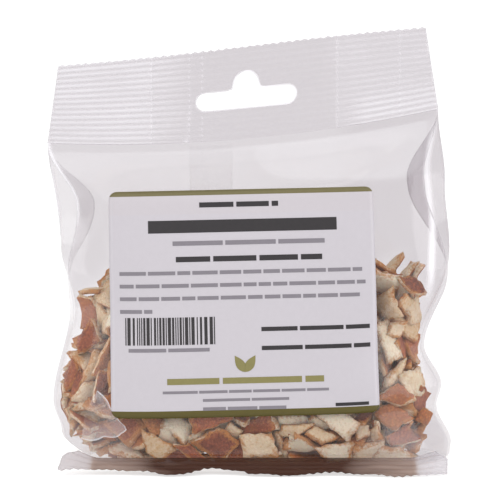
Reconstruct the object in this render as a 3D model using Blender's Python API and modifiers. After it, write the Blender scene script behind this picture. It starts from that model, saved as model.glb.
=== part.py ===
"""Clear gusseted film bag of dried, cut orange peel, standing on its filled base.

The bag is one closed solid: a body that the peel fills and pushes out, a ribbed
sealed header with a hanging slot, and a ribbed bottom seal that lies forward on
the surface. The label is a thin sheet on its front panel. Metres, +Z up, the
labelled front looks along -Y, and the origin is under the middle of the bag.
"""

import math

import bmesh
import bpy
from mathutils import Vector, noise

OBJECT_NAME = "peel_bag"

# Middle of the footprint in the measures below, which the origin lies under.
FOOTPRINT_MIDDLE = Vector((0.00031, -0.00073, 0.0))

# The film bag, as it stands.
SHOULDER_HEIGHT = 0.1070
SHOULDER_SLOPE = math.tan(math.radians(5.2))
SHOULDER_RISE = 0.0042
BAG_HALF_WIDTH = 0.0650
BASE_ROUND = 0.0085
SIDE_ROUND = 0.0035
FRONT_FOOT = 0.0252
FRONT_LEAN = math.tan(math.radians(13.4))
BACK_FOOT = 0.0315
BACK_LEAN = math.tan(math.radians(9.5))
SHOULDER_RUN = 0.020
HEADER_PLACE = 0.0045
SHOULDER_THICKNESS = 0.0014

# Half widths of the bag from its middle at a few heights, to the left and right.
LEFT_SIDE = (
    (0.0, 0.0570), (0.0085, 0.0632), (0.019, 0.0660), (0.050, 0.0598),
    (0.070, 0.0646), (0.107, 0.0672),
)
RIGHT_SIDE = (
    (0.0, 0.0695), (0.004, 0.0685), (0.0175, 0.0632), (0.0245, 0.0648), (0.0375, 0.0590),
    (0.064, 0.0685), (0.084, 0.0658), (0.107, 0.0630),
)

# The side gussets and the panels between them.
GUSSET_INWARD = 0.0095
GUSSET_START = 0.052
CREASE_INSET = 0.0080
PANEL_POWER = 5.0
FULL_SAG = 0.38
SIDE_BULGE = 0.0015

# Peel that shows through the film as low bumps.
FILL_HEIGHT = 0.066
CHIP_SIZE = 0.0105
CHIP_RELIEF = 0.0016
SLACK_RELIEF = 0.0006

# How finely the body is divided.
PANEL_COLUMNS = 32
GUSSET_COLUMNS = 10
BASE_RINGS = 4
RING_STEP = 0.0041

# How near points merge, and how flat neighbouring faces join.
MERGE_DISTANCE = 5e-6
FLAT_ANGLE = math.radians(0.5)

# The sealed header and its hanging slot.
HEADER_HEIGHT = 0.0305
HEADER_WAVE = 0.0004
HEADER_OVERLAP = 0.0020
HEADER_TOP_LEFT = -0.0636
HEADER_TOP_RIGHT = 0.0588
HEADER_TOP_SLOPE = math.tan(math.radians(5.9))
HEADER_THICKNESS = 0.0009
HEADER_LEAN = math.tan(math.radians(3.0))
RIB_COUNT = 15
HEADER_COLUMNS = 12
RIB_HEIGHT = 0.0004
TOOTH_PITCH = 0.0026
TOOTH_HEIGHT = 0.0006
SLOT_MIDDLE = -0.0010
SLOT_BASE = 0.0103
SLOT_WIDTH = 0.0332
SLOT_WING_HEIGHT = 0.0060
SLOT_HUMP_WIDTH = 0.0080
SLOT_HEIGHT = 0.0120
SLOT_ARC_STEPS = 6

# The bottom seal, bent forward onto the surface.
SEAL_LENGTH = 0.0142
SEAL_BACK = -0.0175
SEAL_BACK_HEIGHT = 0.0068
SEAL_FRONT_HEIGHT = 0.0007
SEAL_LEFT = -0.0615
SEAL_RIGHT = 0.0630
SEAL_THICKNESS = 0.0008
SEAL_RIBS = 5
SEAL_RIB_HEIGHT = 0.0003
SEAL_WAVE = 0.0009
SEAL_WAVE_LENGTH = 0.036

# The label.
LABEL_WIDTH = 0.0874
LABEL_HEIGHT = 0.0748
LABEL_CORNER = 0.0028
LABEL_THICKNESS = 0.0004
LABEL_GAP = 0.0004
LABEL_MIDDLE = -0.0020
LABEL_LOW = 0.0176
LABEL_TURN = math.radians(1.35)
LABEL_COLUMNS = 12
LABEL_ROWS = 10
LABEL_REST = 0.006

FILM_COLOUR = (0.70, 0.66, 0.69, 1.0)
LABEL_COLOUR = (0.67, 0.64, 0.68, 1.0)


def ease(value):
    """Smooth step from 0 to 1."""
    value = min(max(value, 0.0), 1.0)
    return value * value * (3.0 - 2.0 * value)


def mix(start, end, share):
    """Value between two ends."""
    return start + (end - start) * share


def along(stations, height):
    """Value at a height, eased from station to station."""
    for (low, start), (high, end) in zip(stations, stations[1:]):
        if height <= high:
            return mix(start, end, ease((height - low) / (high - low)))
    return stations[-1][1]


def base_inset(height, radius=BASE_ROUND):
    """How far the rounded lower edge draws in at a height."""
    left = 1.0 - min(height / BASE_ROUND, 1.0)
    return radius * (1.0 - math.sqrt(1.0 - left * left))


def shoulder_share(height):
    """How far the panels have come together, from 0 to 1 at the header."""
    return ease((height - SHOULDER_HEIGHT + SHOULDER_RUN) / SHOULDER_RUN)


def front_place(height):
    """Y of the front panel's middle at a height."""
    free = -FRONT_FOOT + FRONT_LEAN * height + base_inset(height)
    return mix(free, HEADER_PLACE - SHOULDER_THICKNESS / 2, shoulder_share(height))


def back_place(height):
    """Y of the back panel's middle at a height."""
    free = BACK_FOOT - BACK_LEAN * height - base_inset(height)
    return mix(free, HEADER_PLACE + SHOULDER_THICKNESS / 2, shoulder_share(height))


def open_share(height):
    """1 where the peel fills the bag, easing to 0 where the gusset folds in."""
    return 1.0 - ease((height - GUSSET_START) / (SHOULDER_HEIGHT - SHOULDER_RUN - GUSSET_START))


def panel_sag(height):
    """How far a panel's side edges lie behind its middle."""
    depth = back_place(height) - front_place(height)
    return depth * mix(0.30, FULL_SAG, open_share(height)) * (1.0 - shoulder_share(height))


def crease(height, side, front):
    """X and Y of the crease between a panel and the gusset on one side."""
    profile = LEFT_SIDE if side < 0 else RIGHT_SIDE
    width = along(profile, height) - base_inset(height, SIDE_ROUND)
    folded = (1.0 - open_share(height)) * (1.0 - shoulder_share(height))
    width -= SIDE_BULGE * open_share(height)
    if front:
        return side * (width - CREASE_INSET * folded), front_place(height) + panel_sag(height)
    return side * width, back_place(height) - panel_sag(height) * mix(0.4, 1.0, open_share(height))


def section_point(place, height):
    """X and Y on the bag's section at a height; place runs 0 to 4 round its four sides."""
    side, share = int(place), place - int(place)
    if side in (0, 2):
        front = side == 0
        start, end = crease(height, -1, front), crease(height, 1, front)
        if not front:
            start, end = end, start
        middle = front_place(height) if front else back_place(height)
        across = 2.0 * share - 1.0
        return mix(start[0], end[0], share), mix(middle, start[1], abs(across) ** PANEL_POWER)
    outward = 1 if side == 1 else -1
    start, end = crease(height, outward, side == 1), crease(height, outward, side == 3)
    folded = (1.0 - open_share(height)) * (1.0 - shoulder_share(height))
    fold = 1.0 - abs(2.0 * share - 1.0)
    bulge = SIDE_BULGE * open_share(height) * math.sin(math.pi * share)
    x = mix(start[0], end[0], share) + outward * (bulge - GUSSET_INWARD * folded * fold)
    return x, mix(start[1], end[1], share)


def ring_heights():
    """Heights of the body's rings, closer together round the lower edge."""
    quarter = math.pi / 2
    low = [BASE_ROUND * (1.0 - math.cos(quarter * i / BASE_RINGS)) for i in range(BASE_RINGS)]
    count = round((SHOULDER_HEIGHT - BASE_ROUND) / RING_STEP)
    return low + [mix(BASE_ROUND, SHOULDER_HEIGHT, i / count) for i in range(count + 1)]


def shoulder_lift(x):
    """How much higher than its middle the line under the header lies."""
    return SHOULDER_SLOPE * x + SHOULDER_RISE * (x / BAG_HALF_WIDTH) ** 2


def tilted_height(x, height):
    """Height after the slack upper bag has leaned over with its header."""
    slack_from = FILL_HEIGHT / 2
    return height + shoulder_lift(x) * ease((height - slack_from) / (SHOULDER_HEIGHT - slack_from))


def label_frame(x, z):
    """Place across and up the label, each -0.5 to 0.5 within it."""
    dx, dz = x - LABEL_MIDDLE, z - label_centre_height()
    turn = -LABEL_TURN
    across = dx * math.cos(turn) - dz * math.sin(turn)
    upward = dx * math.sin(turn) + dz * math.cos(turn)
    return across / LABEL_WIDTH, upward / (LABEL_HEIGHT * math.cos(math.atan(FRONT_LEAN)))


def label_centre_height():
    """Height of the label's middle."""
    return LABEL_LOW + 0.5 * LABEL_HEIGHT * math.cos(math.atan(FRONT_LEAN))


def label_hold(point):
    """1 where the label keeps the film smooth, easing to 0 beside it."""
    if point.y > HEADER_PLACE:
        return 0.0
    across, upward = label_frame(point.x, point.z)
    outside = max(abs(across) * LABEL_WIDTH - LABEL_WIDTH / 2, abs(upward) * LABEL_HEIGHT - LABEL_HEIGHT / 2)
    return 1.0 - ease(outside / LABEL_REST)


def film_relief(point):
    """How far the peel behind the film, or its slack, moves it outwards."""
    distances, _ = noise.voronoi(point / CHIP_SIZE)
    chip = min((distances[1] - distances[0]) * 2.0, 1.0) - 0.5
    filled = 1.0 - ease((point.z - FILL_HEIGHT) / CHIP_SIZE)
    foot = ease(point.z / BASE_ROUND)
    slack = noise.noise(point / (3.0 * CHIP_SIZE)) * SLACK_RELIEF
    slack *= ease((SHOULDER_HEIGHT - point.z) / SHOULDER_RUN) * (1.0 - filled)
    return (chip * CHIP_RELIEF * filled * foot + slack) * (1.0 - label_hold(point))


def new_object(name, mesh, collection):
    """Object for a mesh, in a collection."""
    item = bpy.data.objects.new(name, mesh)
    collection.objects.link(item)
    return item


def mesh_object(name, shape, collection):
    """Object for a finished bmesh, which is freed."""
    mesh = bpy.data.meshes.new(name)
    bmesh.ops.translate(shape, vec=-FOOTPRINT_MIDDLE, verts=shape.verts)
    shape.to_mesh(mesh)
    shape.free()
    return new_object(name, mesh, collection)


def make_body(collection):
    """The filled body: a tube of rings whose every section is worked out, with a flat base."""
    heights = ring_heights()
    columns = 2 * (PANEL_COLUMNS + GUSSET_COLUMNS)
    shape = bmesh.new()
    bmesh.ops.create_cone(
        shape, cap_ends=True, segments=columns, radius1=1.0, radius2=1.0, depth=1.0
    )
    sides = [edge for edge in shape.edges if abs(edge.verts[0].co.z - edge.verts[1].co.z) > 0.5]
    bmesh.ops.subdivide_edges(shape, edges=sides, cuts=len(heights) - 2, use_grid_fill=True)
    places = []
    for side, count in enumerate((PANEL_COLUMNS, GUSSET_COLUMNS, PANEL_COLUMNS, GUSSET_COLUMNS)):
        places += [side + i / count for i in range(count)]
    for vert in shape.verts:
        turn = math.atan2(vert.co.y, vert.co.x) % (2.0 * math.pi)
        place = places[round(turn / (2.0 * math.pi) * columns) % columns]
        height = heights[round((vert.co.z + 0.5) * (len(heights) - 1))]
        x, y = section_point(place, height)
        vert.co = Vector((x, y, tilted_height(x, height)))
    shape.normal_update()
    moves = [vert.normal * film_relief(vert.co) for vert in shape.verts]
    for vert, move in zip(shape.verts, moves):
        vert.co += move
    return mesh_object("bag", shape, collection)


def outline_mesh(name, outlines, thickness):
    """Bmesh of a flat plate in XY from closed outlines; those inside the first are holes."""
    curve = bpy.data.curves.new(name, "CURVE")
    curve.dimensions = "2D"
    curve.fill_mode = "BOTH"
    curve.extrude = thickness / 2
    for outline in outlines:
        spline = curve.splines.new("POLY")
        spline.points.add(len(outline) - 1)
        for point, (x, y) in zip(spline.points, outline):
            point.co = (x, y, 0.0, 1.0)
        spline.use_cyclic_u = True
    carrier = bpy.data.objects.new(name, curve)
    bpy.context.scene.collection.objects.link(carrier)
    depsgraph = bpy.context.evaluated_depsgraph_get()
    flat = bpy.data.meshes.new_from_object(carrier.evaluated_get(depsgraph))
    shape = bmesh.new()
    shape.from_mesh(flat)
    bmesh.ops.remove_doubles(shape, verts=shape.verts, dist=1e-6)
    bmesh.ops.dissolve_limit(shape, angle_limit=FLAT_ANGLE, verts=shape.verts, edges=shape.edges)
    bpy.data.objects.remove(carrier)
    bpy.data.curves.remove(curve)
    bpy.data.meshes.remove(flat)
    return shape


def cut_lines(shape, places, axis):
    """Divide a flat plate along straight lines across one axis."""
    for place in places:
        at = Vector((0.0, 0.0, 0.0))
        at[axis] = place
        normal = Vector((0.0, 0.0, 0.0))
        normal[axis] = 1.0
        everything = shape.verts[:] + shape.edges[:] + shape.faces[:]
        bmesh.ops.bisect_plane(shape, geom=everything, plane_co=at, plane_no=normal, dist=1e-6)


def rib_wave(place, pitch, height):
    """Height of the crimped ribs at a place, straight between crest and trough."""
    phase = place / pitch % 1.0
    return height * (4.0 * abs(phase - 0.5) - 1.0)


def teeth(start, end, pitch, height, seed):
    """Offsets of a knife-cut zigzag edge between two places, uneven from tooth to tooth."""
    count = round(abs(end - start) / pitch) * 2
    edge = []
    for i in range(count + 1):
        x = mix(start, end, i / count)
        uneven = 0.7 + 0.5 * noise.noise(Vector((x / pitch * 0.37, seed, 0.0)))
        edge.append((x, height * uneven * (0.5 if i % 2 else -0.5)))
    return edge


def slot_outline():
    """The hanging slot: two round-ended wings and a round hump between them."""
    wing = SLOT_WING_HEIGHT / 2
    hump = SLOT_HUMP_WIDTH / 2
    half = SLOT_WIDTH / 2
    outline = []
    for i in range(SLOT_ARC_STEPS + 1):
        turn = -math.pi / 2 + math.pi * i / SLOT_ARC_STEPS
        outline.append((half - wing + wing * math.cos(turn), wing + wing * math.sin(turn)))
    outline.append((hump * 1.55, 2 * wing))
    for i in range(1, SLOT_ARC_STEPS):
        turn = math.pi * i / SLOT_ARC_STEPS
        rise = SLOT_HEIGHT - hump
        outline.append((hump * math.cos(turn), rise + hump * math.sin(turn)))
    outline.append((-hump * 1.55, 2 * wing))
    for i in range(SLOT_ARC_STEPS + 1):
        turn = math.pi / 2 + math.pi * i / SLOT_ARC_STEPS
        outline.append((wing - half + wing * math.cos(turn), wing + wing * math.sin(turn)))
    return [(SLOT_MIDDLE + x, SLOT_BASE + y) for x, y in outline]


def make_header(collection):
    """The flat, crimped header: ribs along it, a toothed upper edge and the slot through it."""
    low_left, low_right = -LEFT_SIDE[-1][1], RIGHT_SIDE[-1][1]
    top = teeth(HEADER_TOP_RIGHT, HEADER_TOP_LEFT, TOOTH_PITCH, TOOTH_HEIGHT, 1.0)
    outline = [(low_left, -HEADER_OVERLAP), (low_right, -HEADER_OVERLAP)]
    outline += [(x, HEADER_HEIGHT + rise) for x, rise in top]
    shape = outline_mesh("header", [outline, slot_outline()], HEADER_THICKNESS)
    pitch = HEADER_HEIGHT / RIB_COUNT
    cut_lines(shape, [pitch * i / 2 for i in range(2 * RIB_COUNT)], 1)
    step = (low_right - low_left) / HEADER_COLUMNS
    cut_lines(shape, [low_left + step * i for i in range(1, HEADER_COLUMNS)], 0)
    for vert in shape.verts:
        x, up, out = vert.co
        rib = rib_wave(up, pitch, RIB_HEIGHT) if up > 0.0 else RIB_HEIGHT
        low = SHOULDER_HEIGHT + shoulder_lift(x)
        wave = HEADER_WAVE * math.sin(math.pi * x / BAG_HALF_WIDTH)
        top_edge = SHOULDER_HEIGHT + HEADER_HEIGHT + HEADER_TOP_SLOPE * x + wave
        z = low + up * (top_edge - low) / HEADER_HEIGHT
        vert.co = Vector((x, HEADER_PLACE - out - rib + HEADER_LEAN * up, z))
    bmesh.ops.recalc_face_normals(shape, faces=shape.faces)
    return mesh_object("header", shape, collection)


def make_seal(collection):
    """The crimped bottom seal: a ribbed, wavy fin that slopes forward onto the surface."""
    front = teeth(SEAL_LEFT, SEAL_RIGHT, TOOTH_PITCH, TOOTH_HEIGHT, 2.0)
    outline = [(SEAL_RIGHT + 0.0006, SEAL_LENGTH * 0.35), (SEAL_RIGHT - 0.003, 0.0)]
    outline += [(SEAL_LEFT + 0.006, 0.0), (SEAL_LEFT + 0.0012, SEAL_LENGTH * 0.35)]
    for x, rise in front:
        wave = SEAL_WAVE * math.sin(2.0 * math.pi * x / SEAL_WAVE_LENGTH)
        outline.append((x, SEAL_LENGTH - SEAL_WAVE + wave + rise))
    shape = outline_mesh("seal", [outline], SEAL_THICKNESS)
    pitch = SEAL_LENGTH / SEAL_RIBS
    cut_lines(shape, [pitch * i / 2 for i in range(1, 2 * SEAL_RIBS)], 1)
    fall = (SEAL_BACK_HEIGHT - SEAL_FRONT_HEIGHT) / SEAL_LENGTH
    for vert in shape.verts:
        x, outwards, up = vert.co
        rib = rib_wave(outwards, pitch, SEAL_RIB_HEIGHT)
        vert.co = Vector((x, SEAL_BACK - outwards, SEAL_BACK_HEIGHT - fall * outwards + up + rib))
    bmesh.ops.recalc_face_normals(shape, faces=shape.faces)
    return mesh_object("seal", shape, collection)


def fuse(target, tools):
    """Join a collection's objects to the target with one union, and remove them."""
    joint = target.modifiers.new("union", "BOOLEAN")
    joint.operation = "UNION"
    joint.operand_type = "COLLECTION"
    joint.collection = tools
    joint.solver = "EXACT"
    depsgraph = bpy.context.evaluated_depsgraph_get()
    joined = bpy.data.meshes.new_from_object(target.evaluated_get(depsgraph))
    target.modifiers.clear()
    target.data = joined
    for item in list(tools.objects):
        bpy.data.objects.remove(item)
    bpy.data.collections.remove(tools)
    shape = bmesh.new()
    shape.from_mesh(joined)
    bmesh.ops.remove_doubles(shape, verts=shape.verts, dist=MERGE_DISTANCE)
    bmesh.ops.dissolve_degenerate(shape, edges=shape.edges, dist=MERGE_DISTANCE)
    bmesh.ops.triangulate(shape, faces=shape.faces)
    shape.to_mesh(joined)
    shape.free()


def make_label(collection):
    """The label: a thin sheet with rounded corners that follows the front panel."""
    shape = bmesh.new()
    bmesh.ops.create_grid(shape, x_segments=1, y_segments=1, size=0.5)
    bmesh.ops.scale(shape, vec=(LABEL_WIDTH, LABEL_HEIGHT, 1.0), verts=shape.verts)
    bmesh.ops.bevel(
        shape, geom=shape.verts[:], offset=LABEL_CORNER, offset_type="OFFSET",
        segments=4, profile=0.5, affect="VERTICES", material=-1,
    )
    step_x, step_y = LABEL_WIDTH / LABEL_COLUMNS, LABEL_HEIGHT / LABEL_ROWS
    cut_lines(shape, [step_x * i - LABEL_WIDTH / 2 for i in range(1, LABEL_COLUMNS)], 0)
    cut_lines(shape, [step_y * i - LABEL_HEIGHT / 2 for i in range(1, LABEL_ROWS)], 1)
    for vert in shape.verts:
        across, upward = vert.co.x, vert.co.y * math.cos(math.atan(FRONT_LEAN))
        x = LABEL_MIDDLE + across * math.cos(LABEL_TURN) - upward * math.sin(LABEL_TURN)
        z = label_centre_height() + across * math.sin(LABEL_TURN) + upward * math.cos(LABEL_TURN)
        vert.co = Vector((x, panel_place(x, z) - LABEL_GAP - LABEL_THICKNESS / 2, z))
    item = mesh_object("label", shape, collection)
    wall = item.modifiers.new("sheet", "SOLIDIFY")
    wall.thickness = LABEL_THICKNESS
    wall.offset = 0.0
    return item


def panel_place(x, z):
    """Y of the front panel at a point of the upright view, its tilt undone."""
    height = z
    for _ in range(3):
        height += z - tilted_height(x, height)
    left, right = crease(height, -1, True), crease(height, 1, True)
    across = 2.0 * (x - left[0]) / (right[0] - left[0]) - 1.0
    return mix(front_place(height), left[1], abs(across) ** PANEL_POWER)


def finish(item, name, colour, roughness):
    """Give an object its own plain material."""
    material = bpy.data.materials.new(name)
    material.use_nodes = True
    surface = material.node_tree.nodes["Principled BSDF"]
    surface.inputs["Base Color"].default_value = colour
    surface.inputs["Roughness"].default_value = roughness
    surface.inputs["Metallic"].default_value = 0.0
    item.data.materials.clear()
    item.data.materials.append(material)


def main():
    """Build the bag and its label."""
    for item in list(bpy.data.objects):
        bpy.data.objects.remove(item)
    parts = bpy.data.collections.new(OBJECT_NAME)
    tools = bpy.data.collections.new("seals")
    for collection in (parts, tools):
        bpy.context.scene.collection.children.link(collection)
    bag = make_body(parts)
    make_header(tools)
    make_seal(tools)
    fuse(bag, tools)
    finish(bag, "clear_film", FILM_COLOUR, 0.15)
    label = make_label(parts)
    finish(label, "label_film", LABEL_COLOUR, 0.35)


main()
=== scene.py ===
"""Looks of a clear film bag of dried, cut orange peel, standing on its filled base.

The film bag is a clear tube of gusseted film, closed by a crimped header and a
crimped bottom seal. Cut peel is poured into it by a short simulation, and the film
is then drawn onto the peel that it touches. A label with plain printed bars is stuck
to the front. Everything is in metres in the frame's own coordinates, with the
labelled front towards -Y.
"""

from __future__ import annotations

import logging
import math
import random
import time
from dataclasses import dataclass, field
from enum import Enum

import bmesh
import bpy
import numpy as np
from mathutils import Matrix, Quaternion, Vector, noise
from mathutils.bvhtree import BVHTree

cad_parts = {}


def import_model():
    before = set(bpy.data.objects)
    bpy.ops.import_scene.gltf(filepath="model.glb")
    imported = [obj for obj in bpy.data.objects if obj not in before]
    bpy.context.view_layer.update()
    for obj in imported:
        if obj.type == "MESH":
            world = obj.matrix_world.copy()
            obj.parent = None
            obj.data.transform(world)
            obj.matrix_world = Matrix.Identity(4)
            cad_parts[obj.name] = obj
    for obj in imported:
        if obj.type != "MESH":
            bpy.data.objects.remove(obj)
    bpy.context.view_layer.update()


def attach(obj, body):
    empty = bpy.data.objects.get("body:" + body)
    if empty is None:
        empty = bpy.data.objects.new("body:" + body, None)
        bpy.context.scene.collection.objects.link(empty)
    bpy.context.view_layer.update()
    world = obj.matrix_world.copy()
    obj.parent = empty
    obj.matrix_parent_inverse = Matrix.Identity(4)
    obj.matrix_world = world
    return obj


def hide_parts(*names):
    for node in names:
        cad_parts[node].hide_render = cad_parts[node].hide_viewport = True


LOG = logging.getLogger("peel_bag")
MM = 0.001
SEED = 7


def linear(digits: str) -> tuple[float, float, float, float]:
    """Turn an sRGB hex colour into the linear colour that a shader takes.

    Args:
        digits: Six hex digits.

    Returns:
        Red, green, blue and an alpha of 1.
    """
    parts = [int(digits[i:i + 2], 16) / 255.0 for i in (0, 2, 4)]
    toned = [p / 12.92 if p <= 0.04045 else ((p + 0.055) / 1.055) ** 2.4 for p in parts]
    return toned[0], toned[1], toned[2], 1.0


def ease(value: float) -> float:
    """Smooth step from 0 to 1."""
    value = min(max(value, 0.0), 1.0)
    return value * value * (3.0 - 2.0 * value)


def mix(start: float, end: float, share: float) -> float:
    """Value between two ends."""
    return start + (end - start) * share


def along(stations: tuple[tuple[float, float], ...], height: float) -> float:
    """Value at a height, eased from station to station.

    Args:
        stations: Pairs of a height and the value there, lowest first.
        height: Where the value is wanted.

    Returns:
        The eased value.
    """
    for (low, start), (high, end) in zip(stations, stations[1:]):
        if height <= high:
            return mix(start, end, ease((height - low) / (high - low)))
    return stations[-1][1]


def stations(*pairs: tuple[float, float], unit: tuple[float, float] = (MM, MM)) -> tuple:
    """Scale stations that are written in millimetres.

    Args:
        *pairs: Pairs of a place and the value there, lowest place first.
        unit: What one unit of the places and one of the values are worth.

    Returns:
        The scaled pairs.
    """
    return tuple((place * unit[0], value * unit[1]) for place, value in pairs)


def uneven(x: float, y: float, z: float) -> float:
    """Smooth noise from -1 to 1 whose features have a size of 1."""
    return noise.noise(Vector((x, y, z)))


def evened(values: np.ndarray, edges: np.ndarray, passes: int, limit: np.ndarray | float) -> np.ndarray:
    """Even out values over a mesh by taking the mean of each vertex's neighbours.

    Args:
        values: One value for each vertex.
        edges: The two vertex numbers of each edge.
        passes: How often it is done.
        limit: The most that each value may be.

    Returns:
        The evened values.
    """
    count = np.zeros(len(values))
    np.add.at(count, edges[:, 0], 1)
    np.add.at(count, edges[:, 1], 1)
    for _ in range(passes):
        total = np.zeros(len(values))
        np.add.at(total, edges[:, 0], values[edges[:, 1]])
        np.add.at(total, edges[:, 1], values[edges[:, 0]])
        values = np.minimum(total / count, limit)
    return values


def divide(shape: bmesh.types.BMesh, columns: list[float], rows: list[float]) -> None:
    """Cut a flat shape along straight lines.

    Args:
        shape: The flat shape, in XY.
        columns: X of the cuts that run along Y.
        rows: Y of the cuts that run along X.
    """
    for axis, places in enumerate((columns, rows)):
        for place in places:
            at, normal = Vector((0.0, 0.0, 0.0)), Vector((0.0, 0.0, 0.0))
            at[axis], normal[axis] = place, 1.0
            bmesh.ops.bisect_plane(shape, geom=shape.verts[:] + shape.edges[:] + shape.faces[:],
                                   plane_co=at, plane_no=normal, dist=1e-7)


def add_node(tree: bpy.types.NodeTree, kind: str, values: dict | None = None,
             links: dict | None = None, **settings: object) -> bpy.types.Node:
    """Add a shader node with its settings, socket values and incoming links.

    Args:
        tree: Node tree that takes it.
        kind: The node's type name.
        values: Socket name or number to constant.
        links: Socket name or number to the output that feeds it.
        **settings: The node's own properties.

    Returns:
        The new node.
    """
    node = tree.nodes.new(kind)
    for name, value in settings.items():
        setattr(node, name, value)
    for socket, value in (values or {}).items():
        node.inputs[socket].default_value = value
    for socket, source in (links or {}).items():
        tree.links.new(source, node.inputs[socket])
    return node


def new_tree(name: str) -> tuple[bpy.types.Material, bpy.types.NodeTree, bpy.types.Node]:
    """Make a material with an empty tree.

    Args:
        name: The material's name.

    Returns:
        The material, its tree and its output node.
    """
    material = bpy.data.materials.new(name)
    material.use_nodes = True
    tree = material.node_tree
    tree.nodes.clear()
    return material, tree, add_node(tree, "ShaderNodeOutputMaterial")


def mesh_piece(name: str, shape: bmesh.types.BMesh,
               *materials: bpy.types.Material) -> bpy.types.Object:
    """Turn a finished bmesh into an object of the scene and free it.

    Args:
        name: The piece's name.
        shape: Its finished shape.
        *materials: Its material slots in order.

    Returns:
        The new object, shaded smooth.
    """
    mesh = bpy.data.meshes.new(name)
    shape.to_mesh(mesh)
    shape.free()
    for material in materials:
        mesh.materials.append(material)
    mesh.shade_smooth()
    item = bpy.data.objects.new(name, mesh)
    bpy.context.scene.collection.objects.link(item)
    return item


def settle_in(piece: bpy.types.Object, node: str) -> None:
    """Ride a piece on the bag and let it stand for a node.

    Args:
        piece: The finished piece.
        node: The node it stands for.
    """
    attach(piece, "root")
    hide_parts(node)
    LOG.info("%s: %d faces", piece.name, len(piece.data.polygons))


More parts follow.
